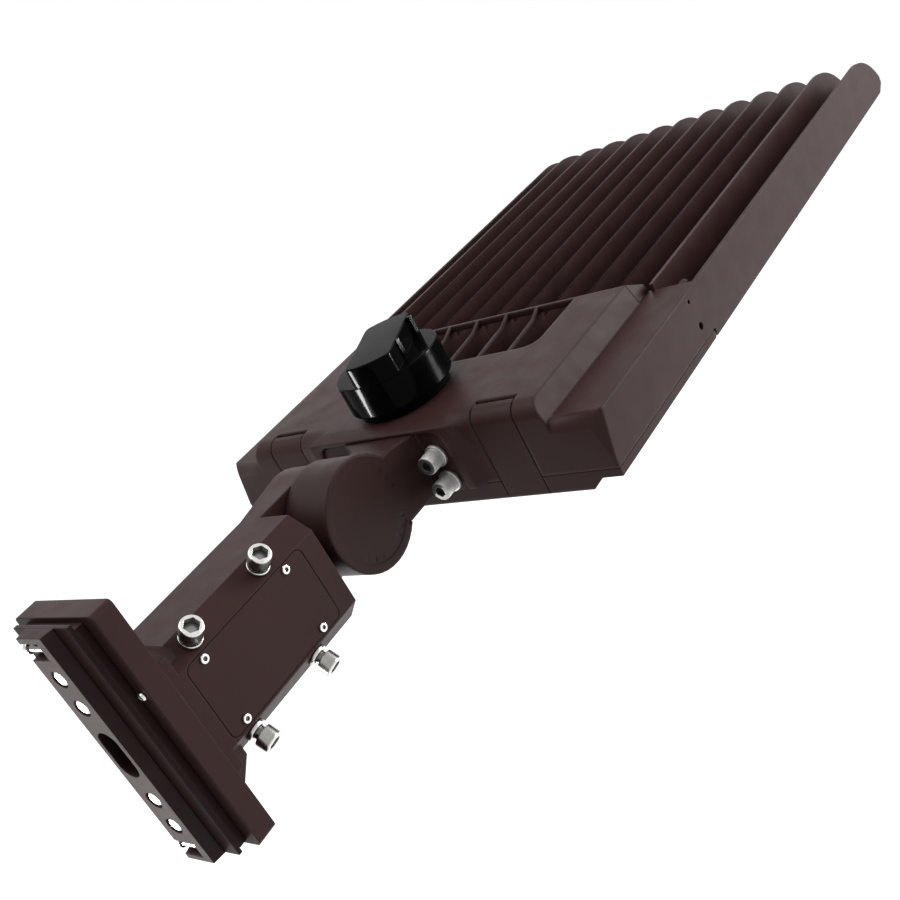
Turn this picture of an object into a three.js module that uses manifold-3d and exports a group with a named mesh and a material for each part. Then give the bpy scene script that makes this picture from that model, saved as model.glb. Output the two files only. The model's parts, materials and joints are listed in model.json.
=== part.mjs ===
// Shoebox area light on a pole arm with a tilting knuckle.
// Millimetres. The origin is the centre of the face that bears on the pole.
// +X runs out from the pole, +Z is up and Y is the axis of the knuckle.
import * as THREE from 'three';
import { mergeVertices } from 'three/addons/utils/BufferGeometryUtils.js';
import Module from 'manifold-3d';

const wasm = await Module();
wasm.setup();

// Clearances that several pieces share
const clear = {
  seat: 0.1,
  slide: 0.3,
  seam: 0.5,
  overrun: 3,
  weld: 0.001,
};

// Steps round a full circle, by the size of what is round
const steps = { small: 8, medium: 20, large: 40, corner: 5, hex: 6 };

// Foot: contact plate, adaptor block and the flange of the arm
const foot = {
  plateDepth: 7.6,
  plateFront: 11.4,
  plateBack: 13.4,
  height: 79.4,
  lipDepth: 2.5,
  lipHalf: 25.5,
  blockDepth: 5.2,
  blockHalf: 26.3,
  blockSetback: 3.2,
  flangeDepth: 13.4,
  flangeHalf: 36.5,
  flangeCorner: 3,
};
const wireHole = { half: 7.7, height: 16 };
const notch = { middle: 70.5, half: 5.5, wall: 5 };
const plateScrew = {
  inner: 33,
  outer: 52.5,
  headRadius: 5.3,
  headDepth: 3,
  recess: 0.4,
  shankRadius: 3,
  length: 20,
};
const endScrew = { headRadius: 3.5, headDepth: 4, shankRadius: 2.4, stand: 15.5 };
const flangeScrew = { y: 30.9, z: 28.2, headRadius: 2.6, headDepth: 2, shankRadius: 1.6, length: 8 };

// Arm
const arm = {
  half: 32.3,
  top: 34.3,
  bottom: 42.2,
  chamfer: 12,
  root: 7.4,
  end: 153.6,
  wall: 7,
  endWall: 8,
  gusset: 15,
  gussetHalf: 27,
};
const armCover = {
  start: 39.8,
  length: 100,
  bottom: 28.8,
  top: 22,
  corner: 5,
  thickness: 2.6,
  gasket: 0.8,
  ledge: 8,
  screwStart: 12.8,
  screwEnd: 16,
  screwEdge: 4.1,
};
const coverScrew = {
  headRadius: 2.8,
  headDepth: 1.4,
  shankRadius: 1.5,
  length: 7,
  socketRadius: 1.4,
  socketDepth: 0.9,
};
const clampScrew = {
  near: 56,
  far: 114,
  headRadius: 6.7,
  headHeight: 8.6,
  bevel: 0.6,
  lift: 5.2,
  shankRadius: 4,
  reach: 6,
  socketRadius: 4.6,
  socketDepth: 4.5,
  ringRadius: 6.8,
  ringThickness: 2.2,
};

// Knuckle
const knuckle = {
  x: 197.5,
  radius: 36.7,
  face: 31.5,
  earRadius: 34.3,
  dishRadius: 31,
  dishDepth: 1,
  split: 4.9,
  boltRadius: 6,
  boltHead: 9.5,
  boltHeadHeight: 10,
  boltSocket: 5.5,
  boltSocketDepth: 6,
  boltEnd: 22,
  washerRadius: 12.5,
  washerThickness: 2.2,
  bossRadius: 11,
  wireRadius: 19,
  wireDepth: 14,
  duct: 7,
  ductRadius: 6,
  ductDrop: 6,
};
const marks = { ring: 27.5, length: 4.5, width: 1.3, height: 0.5, first: 95, last: 295, every: 10 };
const neck = {
  top: 20,
  bottom: 26,
  rimEnd: 23,
  flareStart: 237,
  flareMiddle: 249.5,
  middleOut: 1.5,
  middleTop: 18,
  flareOut: 4,
};
const bracket = {
  face: 259,
  pad: 2.9,
  spigot: 6.6,
  half: 55,
  spigotHalf: 50,
  top: 16,
  spigotTop: 11,
  bottom: 30,
  corner: 9,
  spigotCorner: 5,
  boltY: 43,
  boltHigh: -1.5,
  boltLow: -21,
};
const bracketBolt = {
  headRadius: 6.5,
  headHeight: 13.6,
  bevel: 0.7,
  flangeRadius: 8,
  flangeHeight: 2.6,
  shankRadius: 4,
  length: 17,
  socketRadius: 3.6,
  socketDepth: 4,
};

// Head
const head = {
  rear: 262.5,
  far: 857,
  half: 165.8,
  rail: 2.6,
  railTop: 7.6,
  seam: -28.5,
  bottom: -34.2,
  wallTop: 22,
  wallFront: 404,
  shoulderFront: 420,
  boxTop: 126,
  boxHalf: 131,
  rearRound: 10,
  shoulderRound: 8,
  skin: 3.8,
  sideSkin: 5,
  rearWall: 15.5,
  partition: 400,
};
const fin = { top: 13.3, pitch: 27.2, count: 11, thickness: 2.6, floor: -18, floorDepth: 3.9 };
const finEnd = { start: 785, radius: 82, sweep: 48, tip: 848 };
const railEnd = { start: 801, radius: 67.5, sweep: 56, toe: -28, foot: 847 };
const brace = { inner: 124.5, end: 420 };
const collar = {
  proud: 5.7,
  half: 62,
  top: 18.6,
  slope: 6,
  topRun: 10,
  corner: 14,
};
const cornerCut = { leg: 9, start: -24 };
const boss = { y: 150, z: 1.5, radius: 3.5, end: 434 };
const scoop = {
  back: 340.5,
  half: 86.5,
  corner: 12,
  floor: -8,
  finSpan: 60,
  finLow: 15.2,
  finHigh: 18.2,
  gusset: 11,
  bar: 2.2,
  barHeight: 4.5,
};
const sideHole = { x: 405, z: -18, radius: 2.8, upperX: 402.5, upperZ: 1.5, upperRadius: 1.6, depth: 4 };

// Light engine in the pocket under the fins
const pocket = { start: 430, end: 842, half: 152, ledge: 11, ledgeHeight: 6.2 };
const ledBoard = { thickness: 1.6, margin: 3 };
const lens = {
  thickness: 2,
  margin: 1.5,
  rows: 8,
  columns: 6,
  pitchX: 45,
  pitchY: 43,
  radius: 15,
  top: 9,
  height: 3.6,
};
const lensGasket = { thickness: 1.4, width: 6 };
const frame = { depth: 5.9, border: 21 };
const frameScrew = { headRadius: 3.4, headDepth: 2, shankRadius: 1.9, length: 9, inset: 6.5 };

// Door under the driver box, and what it carries
const door = {
  slope: 151,
  trayHalf: 141,
  tray: -42.8,
  trayFront: 404,
  rearRound: 2.5,
  wall: 3.5,
  cavityStart: 275,
  cavityEnd: 400,
  cavityHalf: 136,
  pinX: 416.2,
  lugHalf: 5,
  lugY: 118,
  lugRelief: 3.1,
  pinRadius: 1.5,
  pinLength: 26,
};
const doorGasket = { start: 269.5, end: 406, half: 157, width: 3.5, depth: 2 };
const driver = { start: 286, length: 48, from: -80, to: 80, height: 28 };
const surge = { start: 350, length: 34, from: -66, to: -8, height: 22 };
const terminal = {
  start: 350,
  length: 22,
  from: 14,
  to: 74,
  height: 18,
  ways: 5,
  wireRadius: 2.2,
  wireDepth: 8,
};

// Latches at the rear
const latch = {
  y: 94,
  half: 15.5,
  sideGap: 0.8,
  thickness: 3,
  pinX: 269,
  pinZ: 17.5,
  knobRadius: 3.4,
  pinRadius: 1.5,
  pinEnd: 3,
  slotEnd: 277,
  slotFloor: 11.5,
};

// Receptacle and cap on the cover
const receptacle = {
  x: 302,
  radius: 33,
  height: 6,
  shankRadius: 20,
  shankDepth: 15,
  wellInner: 10.5,
  wellOuter: 17.5,
  wellDepth: 5.2,
};
const cap = {
  radius: 37.5,
  skirt: 23,
  height: 37,
  turn: 24,
  gripHalf: 17,
  gripBack: 33.5,
  tabWidth: 4,
  tabDepth: 9,
  tabPlaces: [-15, 22],
  tabDrop: 5,
};
const blade = { radius: 14, half: 3.6, thickness: 1.5, length: 5, count: 3 };

const group = new THREE.Group();

function finish(color, roughness, metalness) {
  return { color, roughness, metalness };
}

const finishes = {
  bronze: finish(0x4e4340, 0.55, 0.3),
  contact: finish(0x7c7876, 0.6, 0.3),
  steel: finish(0xc4c2bd, 0.3, 1),
  rubber: finish(0x1c1b1b, 0.85, 0),
  black: finish(0x0d0f0f, 0.22, 0),
  board: finish(0xe6e8e6, 0.5, 0),
  clear: finish(0xdfe6e8, 0.15, 0),
  driver: finish(0x8a8c8c, 0.5, 0.4),
  brass: finish(0xb89a52, 0.35, 1),
};

// Solid and mesh helpers
function solid(geometry) {
  const bare = geometry.clone();
  bare.deleteAttribute('normal');
  bare.deleteAttribute('uv');
  const merged = mergeVertices(bare);
  const mesh = new wasm.Mesh({
    numProp: 3,
    vertProperties: merged.attributes.position.array,
    triVerts: new Uint32Array(merged.index.array),
  });
  return new wasm.Manifold(mesh);
}

function place(name, body, look, position, direction) {
  const result = body.getMesh();
  const geometry = new THREE.BufferGeometry();
  geometry.setAttribute('position', new THREE.BufferAttribute(result.vertProperties, 3));
  geometry.setIndex(new THREE.BufferAttribute(result.triVerts, 1));
  geometry.computeVertexNormals();
  const mesh = new THREE.Mesh(geometry, new THREE.MeshStandardMaterial(finishes[look]));
  mesh.name = name;
  if (position) {
    mesh.position.copy(position);
  }
  if (direction) {
    mesh.quaternion.setFromUnitVectors(new THREE.Vector3(0, 0, 1), direction);
  }
  group.add(mesh);
}

function at(x, y, z) {
  return new THREE.Vector3(x, y, z);
}

function box(x0, x1, y0, y1, z0, z1) {
  const geometry = new THREE.BoxGeometry(x1 - x0, y1 - y0, z1 - z0);
  geometry.translate((x0 + x1) / 2, (y0 + y1) / 2, (z0 + z1) / 2);
  return solid(geometry);
}

// A rod along one axis, where u and v are the other two axes in X, Y, Z order
function rod(axis, u, v, radius, from, to, sides, endRadius = radius) {
  const geometry = new THREE.CylinderGeometry(endRadius, radius, to - from, sides);
  const middle = (from + to) / 2;
  if (axis === 'x') {
    geometry.rotateZ(-Math.PI / 2);
    geometry.translate(middle, u, v);
  } else if (axis === 'y') {
    geometry.translate(u, middle, v);
  } else {
    geometry.rotateX(Math.PI / 2);
    geometry.translate(u, v, middle);
  }
  return solid(geometry);
}

// A flat outline, made solid along one axis from one place to another
function prism(axis, points, from, to) {
  const tidy = points.filter((point, i) => {
    const next = points[(i + 1) % points.length];
    return Math.hypot(point[0] - next[0], point[1] - next[1]) > clear.weld;
  });
  const shape = new THREE.Shape(tidy.map(([u, v]) => new THREE.Vector2(u, v)));
  const geometry = new THREE.ExtrudeGeometry(shape, { depth: to - from, bevelEnabled: false });
  const basis = new THREE.Matrix4();
  if (axis === 'x') {
    geometry.translate(0, 0, from);
    basis.makeBasis(at(0, 1, 0), at(0, 0, 1), at(1, 0, 0));
  } else if (axis === 'y') {
    geometry.translate(0, 0, -to);
    basis.makeBasis(at(1, 0, 0), at(0, 0, 1), at(0, -1, 0));
  } else {
    geometry.translate(0, 0, from);
  }
  geometry.applyMatrix4(basis);
  return solid(geometry);
}

function arc(u, v, radius, fromDegrees, toDegrees, count) {
  return Array.from({ length: count + 1 }, (unused, i) => {
    const angle = THREE.MathUtils.degToRad(fromDegrees + ((toDegrees - fromDegrees) * i) / count);
    return [u + radius * Math.cos(angle), v + radius * Math.sin(angle)];
  });
}

function rounded(u0, u1, v0, v1, radius) {
  return [
    ...arc(u1 - radius, v1 - radius, radius, 0, 90, steps.corner),
    ...arc(u0 + radius, v1 - radius, radius, 90, 180, steps.corner),
    ...arc(u0 + radius, v0 + radius, radius, 180, 270, steps.corner),
    ...arc(u1 - radius, v0 + radius, radius, 270, 360, steps.corner),
  ];
}

function chamfered(u0, u1, v0, v1, cut) {
  return [
    [u0 + cut, v0], [u1 - cut, v0], [u1, v0 + cut], [u1, v1 - cut],
    [u1 - cut, v1], [u0 + cut, v1], [u0, v1 - cut], [u0, v0 + cut],
  ];
}

function join(...parts) {
  return parts.reduce((whole, part) => whole.add(part));
}

function cut(whole, ...tools) {
  return tools.reduce((rest, tool) => rest.subtract(tool), whole);
}

// A screw along +Z: the bearing face of its head is at zero and the shank runs down
function screw(size, shankLength, sides) {
  const height = size.headHeight ?? size.headDepth;
  const shank = rod('z', 0, 0, size.shankRadius, -shankLength, height / 2, steps.small);
  if (size.bevel) {
    const lower = rod('z', 0, 0, size.headRadius, 0, height - size.bevel, sides);
    const crownRadius = size.headRadius - size.bevel;
    const crown = rod('z', 0, 0, size.headRadius, height - size.bevel, height, sides, crownRadius);
    return join(lower, crown, shank);
  }
  return join(rod('z', 0, 0, size.headRadius, 0, height, sides), shank);
}

function hexSocket(radius, top, depth) {
  return rod('z', 0, 0, radius, top - depth, top + clear.overrun, steps.hex);
}

// Places that several pieces share
const lipStart = foot.plateDepth + clear.seat;
const blockStart = lipStart + foot.lipDepth;
const flangeStart = blockStart + foot.blockDepth + clear.seat;
const flangeEnd = flangeStart + foot.flangeDepth;
const coverSeat = -arm.half + armCover.thickness + armCover.gasket + clear.seat;
const knuckleFace = knuckle.split - clear.slide;
const recessFloor = bracket.face + bracket.pad + bracket.spigot + clear.seat;
const doorTop = head.seam - clear.seam;
const doorAxis = (doorTop + head.bottom) / 2;
const doorNose = (doorTop - head.bottom) / 2;
const neckFace = knuckle.face - knuckle.dishDepth;
const doorStart = head.rear + latch.thickness + clear.seam + clear.seat;
const rimStart = head.shoulderFront + clear.slide;
const pocketCeiling = fin.floor - fin.floorDepth;
const ledgeZ = head.bottom + pocket.ledgeHeight;
const cornerShare = Math.SQRT1_2;

// Foot pieces
function wireSlot(from, to) {
  const outline = [
    ...arc(0, wireHole.height - wireHole.half, wireHole.half, 0, 180, steps.corner * 2),
    ...arc(0, wireHole.half - wireHole.height, wireHole.half, 180, 360, steps.corner * 2),
  ];
  return prism('x', outline, from, to);
}

const plateScrewPlaces = [plateScrew.outer, plateScrew.inner, -plateScrew.inner, -plateScrew.outer];

function plateScrewHoles(from, to, radius) {
  return plateScrewPlaces.map((z) => rod('x', 0, z, radius, from, to, steps.small));
}

function makeContactPlate() {
  const outline = [
    [0, -foot.plateFront], [foot.plateDepth, -foot.plateBack],
    [foot.plateDepth, foot.plateBack], [0, foot.plateFront],
  ];
  const body = prism('z', outline, -foot.height, foot.height);
  const notches = [notch.middle, -notch.middle].map((z) =>
    box(-clear.overrun, foot.plateDepth + clear.overrun, -notch.wall, foot.plateBack + clear.overrun,
      z - notch.half, z + notch.half));
  const seats = plateScrewPlaces.map((z) =>
    rod('x', 0, z, plateScrew.headRadius + clear.slide, -clear.overrun,
      plateScrew.recess + plateScrew.headDepth + clear.seat, steps.medium));
  const holes = plateScrewHoles(0, foot.plateDepth + clear.overrun, plateScrew.shankRadius + clear.slide);
  const slot = wireSlot(-clear.overrun, foot.plateDepth + clear.overrun);
  place('pole_contact_plate', cut(body, ...notches, ...seats, ...holes, slot), 'contact');
}

function makePlateScrews() {
  const bolt = screw(plateScrew, plateScrew.length, steps.medium);
  const socket = hexSocket(plateScrew.shankRadius, plateScrew.headDepth, plateScrew.headDepth / 2);
  plateScrewPlaces.forEach((z, i) => {
    const spot = at(plateScrew.recess + plateScrew.headDepth, 0, z);
    place(`plate_screw_${i + 1}`, cut(bolt, socket), 'steel', spot, at(-1, 0, 0));
  });
}

function makeEndScrews() {
  const length = endScrew.stand - endScrew.headDepth + notch.wall - clear.slide;
  const bolt = screw(endScrew, length, steps.small);
  [['end_screw_top', notch.middle], ['end_screw_bottom', -notch.middle]].forEach(([name, z]) => {
    place(name, bolt, 'steel', at(foot.plateDepth / 2, endScrew.stand - endScrew.headDepth, z), at(0, 1, 0));
  });
}

function makeAdaptor() {
  const shortHalf = foot.height - foot.blockSetback;
  const body = join(
    box(lipStart, blockStart, -foot.lipHalf, foot.lipHalf, -foot.height, foot.height),
    box(blockStart, flangeStart - clear.seat, -foot.blockHalf, foot.blockHalf, -shortHalf, shortHalf),
  );
  const holes = plateScrewHoles(0, flangeEnd, plateScrew.shankRadius + clear.slide);
  place('pole_adaptor', cut(body, ...holes, wireSlot(0, flangeEnd)), 'bronze');
}

// Arm
function facetSpot(side) {
  const z = side > 0 ? arm.top - arm.chamfer / 2 : -arm.bottom + arm.chamfer / 2;
  return { y: -arm.half + arm.chamfer / 2, z, out: at(0, -cornerShare, side * cornerShare) };
}

function aimedRod(x, side, radius, from, to, sides) {
  const spot = facetSpot(side);
  const geometry = new THREE.CylinderGeometry(radius, radius, to - from, sides);
  geometry.rotateX(Math.PI / 2);
  geometry.translate(0, 0, (from + to) / 2);
  geometry.applyQuaternion(new THREE.Quaternion().setFromUnitVectors(at(0, 0, 1), spot.out));
  geometry.translate(x, spot.y, spot.z);
  return solid(geometry);
}

const clampPlaces = [
  [clampScrew.near, 1], [clampScrew.far, 1], [clampScrew.near, -1], [clampScrew.far, -1],
];
const coverScrewPlaces = [
  [armCover.start + armCover.screwStart, armCover.top - armCover.screwEdge],
  [armCover.start + armCover.length - armCover.screwEnd, armCover.top - armCover.screwEdge],
  [armCover.start + armCover.screwStart, armCover.screwEdge - armCover.bottom],
  [armCover.start + armCover.length - armCover.screwEnd, armCover.screwEdge - armCover.bottom],
];

function armSection(inset, from, to) {
  const slopeCut = arm.chamfer - inset * (2 - Math.SQRT2);
  const outline = chamfered(
    inset - arm.half, arm.half - inset, inset - arm.bottom, arm.top - inset, slopeCut);
  return prism('x', outline, from, to);
}

function gussets() {
  const outline = (side, edge) => [
    [flangeStart, edge - side * arm.gusset], [flangeEnd, edge + side * arm.gusset],
    [flangeEnd + arm.gusset, edge], [flangeEnd + arm.gusset, edge - side * arm.gusset],
  ];
  return [
    prism('y', outline(1, arm.top), -arm.gussetHalf, arm.gussetHalf),
    prism('y', outline(-1, -arm.bottom), -arm.gussetHalf, arm.gussetHalf),
  ];
}

function earSolid() {
  const outline = [
    [arm.end - clear.overrun, -knuckle.earRadius],
    ...arc(knuckle.x, 0, knuckle.earRadius, -90, 90, steps.large / 2),
    [arm.end - clear.overrun, knuckle.earRadius],
  ];
  return prism('y', outline, knuckle.split, arm.half);
}

// The channel for wires round the knuckle bolt, open at the joint face
function wireRing(from, to) {
  return cut(
    rod('y', knuckle.x, 0, knuckle.wireRadius, from, to, steps.medium),
    rod('y', knuckle.x, 0, knuckle.bossRadius, from, to, steps.medium),
  );
}

function makeArmBody() {
  const flange = prism(
    'x', rounded(-foot.flangeHalf, foot.flangeHalf, -foot.height, foot.height, foot.flangeCorner),
    flangeStart, flangeEnd);
  const root = box(
    flangeEnd - clear.overrun, flangeEnd + arm.root, -arm.half, arm.half, -arm.bottom, arm.top);
  const shell = join(flange, root, armSection(0, flangeEnd, arm.end), ...gussets(), earSolid());
  const cavity = armSection(arm.wall, flangeEnd, arm.end - arm.endWall);
  const coverEnd = armCover.start + armCover.length;
  const coverPocket = prism(
    'y', rounded(armCover.start, coverEnd, -armCover.bottom, armCover.top, armCover.corner),
    -arm.half - clear.overrun, coverSeat);
  const access = prism(
    'y', rounded(armCover.start + armCover.ledge, coverEnd - armCover.ledge,
      armCover.ledge - armCover.bottom, armCover.top - armCover.ledge, armCover.corner),
    -arm.half - clear.overrun, 0);
  const coverHoles = coverScrewPlaces.map(([x, z]) =>
    rod('y', x, z, coverScrew.shankRadius + clear.slide, -arm.half,
      coverScrew.length + clear.slide - arm.half, steps.small));
  const clampHoles = clampPlaces.map(([x, side]) =>
    aimedRod(x, side, clampScrew.shankRadius + clear.slide, -arm.wall - clear.overrun, clear.overrun,
      steps.medium));
  const plateHoles = plateScrewHoles(
    0, plateScrew.recess + plateScrew.headDepth + plateScrew.length + clear.seam,
    plateScrew.shankRadius + clear.slide);
  const sideHoleCut = rod('x', -flangeScrew.y, flangeScrew.z, flangeScrew.shankRadius + clear.slide,
    flangeStart - clear.overrun, flangeStart + flangeScrew.length + clear.seam, steps.small);
  const boltHole = rod(
    'y', knuckle.x, 0, knuckle.boltRadius + clear.slide, 0, arm.half + clear.overrun, steps.medium);
  const duct = rod('x', (knuckle.split + arm.half) / 2, 0, knuckle.duct,
    arm.end - arm.endWall - clear.overrun, knuckle.x - knuckle.bossRadius, steps.small);
  const ring = wireRing(0, knuckle.split + knuckle.wireDepth);
  const body = cut(
    shell, cavity, wireSlot(0, flangeEnd + clear.overrun), coverPocket, access, ...coverHoles, ...clampHoles,
    ...plateHoles, sideHoleCut, boltHole, duct, ring);
  place('arm_body', body, 'bronze');
}

function makeArmCover() {
  const coverEnd = armCover.start + armCover.length;
  const edge = clear.seam;
  const coverOutline = rounded(
    armCover.start + edge, coverEnd - edge, edge - armCover.bottom, armCover.top - edge,
    armCover.corner - edge);
  const inner = -arm.half + armCover.thickness;
  const holes = (radius) => coverScrewPlaces.map(([x, z]) =>
    rod('y', x, z, radius, -arm.half - clear.overrun, 0, steps.small));
  const cover = prism('y', coverOutline, -arm.half, inner);
  place('arm_cover', cut(cover, ...holes(coverScrew.shankRadius + clear.slide)), 'bronze');
  const gasketRing = cut(
    prism('y', coverOutline, inner, inner + armCover.gasket),
    prism('y', rounded(armCover.start + armCover.ledge, coverEnd - armCover.ledge,
      armCover.ledge - armCover.bottom, armCover.top - armCover.ledge, armCover.corner),
      inner - clear.overrun, 0),
    ...holes(coverScrew.shankRadius + clear.slide));
  place('arm_cover_gasket', gasketRing, 'rubber');
  const bolt = cut(
    screw(coverScrew, coverScrew.length, steps.small),
    hexSocket(coverScrew.socketRadius, coverScrew.headDepth, coverScrew.socketDepth));
  coverScrewPlaces.forEach(([x, z], i) => {
    place(`arm_cover_screw_${i + 1}`, bolt, 'steel', at(x, -arm.half, z), at(0, -1, 0));
  });
}

function makeClampScrews() {
  const shank = clampScrew.lift + arm.wall + clampScrew.reach;
  const bolt = cut(
    screw(clampScrew, shank, steps.medium),
    hexSocket(clampScrew.socketRadius, clampScrew.headHeight, clampScrew.socketDepth));
  const ring = cut(
    rod('z', 0, 0, clampScrew.ringRadius, 0, clampScrew.ringThickness, steps.medium),
    rod('z', 0, 0, clampScrew.shankRadius + clear.slide, -clear.overrun,
      clampScrew.ringThickness + clear.overrun, steps.medium));
  clampPlaces.forEach(([x, side], i) => {
    const spot = facetSpot(side);
    const base = at(x, spot.y, spot.z);
    const underHead = base.clone().addScaledVector(spot.out, clampScrew.lift);
    const underRing = base.clone().addScaledVector(spot.out, clear.slide);
    place(`clamp_screw_${i + 1}`, bolt, 'steel', underHead, spot.out);
    place(`clamp_ring_${i + 1}`, ring, 'steel', underRing, spot.out);
  });
}

function makeFlangeScrew() {
  const bolt = screw(flangeScrew, flangeScrew.length, steps.small);
  place('flange_screw', bolt, 'steel', at(flangeStart, -flangeScrew.y, flangeScrew.z), at(-1, 0, 0));
}

// Knuckle
function makeKnuckleBolt() {
  const washerEnd = arm.half + knuckle.washerThickness + clear.seat;
  const size = {
    headRadius: knuckle.boltHead,
    headHeight: knuckle.boltHeadHeight,
    shankRadius: knuckle.boltRadius,
  };
  const bolt = cut(
    screw(size, washerEnd + knuckle.boltEnd, steps.medium),
    hexSocket(knuckle.boltSocket, knuckle.boltHeadHeight, knuckle.boltSocketDepth));
  place('knuckle_bolt', bolt, 'steel', at(knuckle.x, washerEnd, 0), at(0, 1, 0));
  const washer = cut(
    rod('y', knuckle.x, 0, knuckle.washerRadius, arm.half + clear.seat, washerEnd, steps.medium),
    rod('y', knuckle.x, 0, knuckle.boltRadius + clear.slide, 0, washerEnd + clear.overrun, steps.medium));
  place('knuckle_washer', washer, 'steel');
}

function angleMarks() {
  const count = Math.floor((marks.last - marks.first) / marks.every);
  return Array.from({ length: count + 1 }, (unused, i) => {
    const angle = THREE.MathUtils.degToRad(marks.first + marks.every * i);
    const geometry = new THREE.BoxGeometry(marks.length, marks.height * 2, marks.width);
    geometry.rotateY(-angle);
    geometry.translate(marks.ring * Math.cos(angle), 0, marks.ring * Math.sin(angle));
    geometry.translate(knuckle.x, knuckle.dishDepth - knuckle.face, 0);
    return solid(geometry);
  });
}

const bracketBoltPlaces = [
  [-bracket.boltY, bracket.boltHigh], [-bracket.boltY, bracket.boltLow],
  [bracket.boltY, bracket.boltHigh], [bracket.boltY, bracket.boltLow],
];

// The neck widens towards the plate that bolts to the head
function neckFlare() {
  return prism('z', [
    [knuckle.x, -neckFace], [neck.flareStart, -neckFace], [neck.flareMiddle, -neckFace - neck.middleOut],
    [bracket.face, -neckFace - neck.flareOut], [bracket.face, 0], [knuckle.x, 0],
  ], -neck.bottom, neck.top);
}

// What is taken off the top of the neck so that it falls towards that plate
function neckTrim() {
  const above = neck.top + clear.overrun;
  return prism('y', [
    [neck.flareStart, neck.top], [neck.flareMiddle, neck.middleTop], [bracket.face, bracket.top],
    [bracket.face, above], [neck.flareStart, above],
  ], -bracket.half, bracket.half);
}

function makeBracket() {
  const padEnd = bracket.face + bracket.pad;
  const spigotEnd = padEnd + bracket.spigot;
  const disc = rod('y', knuckle.x, 0, knuckle.radius, -knuckle.face, knuckleFace, steps.large);
  const stem = box(knuckle.x, bracket.face, -neckFace, knuckleFace, -neck.bottom, neck.top);
  const web = prism('z', [
    [knuckle.x + knuckle.radius + clear.overrun, 0], [bracket.face, 0], [bracket.face, neckFace],
    [bracket.face - clear.seam, neckFace],
  ], -neck.bottom, neck.top);
  const padOutline = rounded(-bracket.half, bracket.half, -bracket.bottom, bracket.top, bracket.corner);
  const pad = prism('x', padOutline, bracket.face, padEnd);
  const spigot = prism(
    'x', rounded(-bracket.spigotHalf, bracket.spigotHalf, head.seam + clear.seam, bracket.spigotTop,
      bracket.spigotCorner),
    padEnd - clear.overrun, spigotEnd);
  const dish = rod('y', knuckle.x, 0, knuckle.dishRadius,
    -knuckle.face - clear.overrun, knuckle.dishDepth - knuckle.face, steps.large);
  const holes = bracketBoltPlaces.map(([y, z]) =>
    rod('x', y, z, bracketBolt.shankRadius + clear.slide, 0, spigotEnd + clear.overrun, steps.small));
  const boltHole = rod('y', knuckle.x, 0, knuckle.boltRadius + clear.slide,
    -knuckle.boltEnd - clear.seam, knuckle.face, steps.medium);
  const ring = wireRing(knuckleFace - knuckle.wireDepth, knuckle.face);
  const duct = rod('x', knuckleFace - knuckle.duct, -knuckle.ductDrop, knuckle.ductRadius,
    knuckle.x + knuckle.bossRadius, spigotEnd + clear.overrun, steps.small);
  const rimEnd = box(
    knuckle.x + neck.rimEnd, bracket.face, -knuckle.face - clear.overrun, -neckFace, -neck.bottom, neck.top);
  const casting = join(
    cut(disc, dish, rimEnd), cut(join(stem, web, neckFlare()), neckTrim()), pad, spigot, ...angleMarks());
  const body = cut(casting, ...holes, boltHole, ring, duct);
  place('knuckle_bracket', body, 'bronze');
}

function makeBracketBolts() {
  const flange = rod('z', 0, 0, bracketBolt.flangeRadius, 0, bracketBolt.flangeHeight, steps.medium);
  const bolt = cut(
    join(screw(bracketBolt, bracketBolt.length, steps.medium), flange),
    hexSocket(bracketBolt.socketRadius, bracketBolt.headHeight, bracketBolt.socketDepth));
  bracketBoltPlaces.forEach(([y, z], i) => {
    place(`bracket_bolt_${i + 1}`, bolt, 'steel', at(bracket.face - clear.seat, y, z), at(-1, 0, 0));
  });
}

// Housing
function rearProfile(floor, top, round, front) {
  return [
    [head.rear, floor],
    ...arc(head.rear + round, top - round, round, 180, 90, steps.corner),
    [front, top],
    [front, floor],
  ];
}

function boxSlopes() {
  return prism('x', [
    [-head.boxHalf, head.seam], [head.boxHalf, head.seam], [head.boxHalf, head.railTop],
    [head.boxTop, head.wallTop], [-head.boxTop, head.wallTop], [-head.boxHalf, head.railTop],
  ], head.rear - clear.overrun, head.shoulderFront + clear.overrun);
}

function driverBox() {
  const profile = rearProfile(head.seam, head.wallTop, head.rearRound, head.wallFront);
  return prism('y', profile, -head.boxHalf, head.boxHalf).intersect(boxSlopes());
}

// The rear outer corner of a shoulder slopes away as it rises
function cornerSlope(side) {
  const rise = head.railTop - cornerCut.start;
  const out = at(-rise, side * rise, cornerCut.leg).normalize();
  const geometry = new THREE.BoxGeometry(head.half, head.half, head.half);
  geometry.translate(0, 0, head.half / 2);
  geometry.applyQuaternion(new THREE.Quaternion().setFromUnitVectors(at(0, 0, 1), out));
  geometry.translate(head.rear, side * head.half, cornerCut.start);
  return solid(geometry);
}

function shoulders() {
  const outline = rearProfile(head.seam, head.railTop, head.shoulderRound, head.shoulderFront);
  return [
    cut(prism('y', outline, -head.half, -head.boxHalf + clear.overrun), cornerSlope(-1)),
    cut(prism('y', outline, head.boxHalf - clear.overrun, head.half), cornerSlope(1)),
  ];
}

// The raised frame on the rear wall that the bracket's plate sits in
function rearCollar() {
  const face = head.rear - collar.proud;
  const inside = head.rear + collar.topRun;
  const base = collar.half + collar.slope;
  const across = prism('z', [
    [face, -collar.half], [head.rear, -base], [inside, -base],
    [inside, base], [head.rear, base], [face, collar.half],
  ], head.seam, head.wallTop);
  const along = prism('y', [
    [face, head.seam], [inside, head.seam], [inside, head.wallTop],
    [face + collar.topRun, head.wallTop], [face, collar.top],
  ], -base, base);
  const round = prism('x', rounded(-base, base, head.bottom * 2, head.wallTop, collar.corner), face, inside);
  return across.intersect(along).intersect(round);
}

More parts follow.
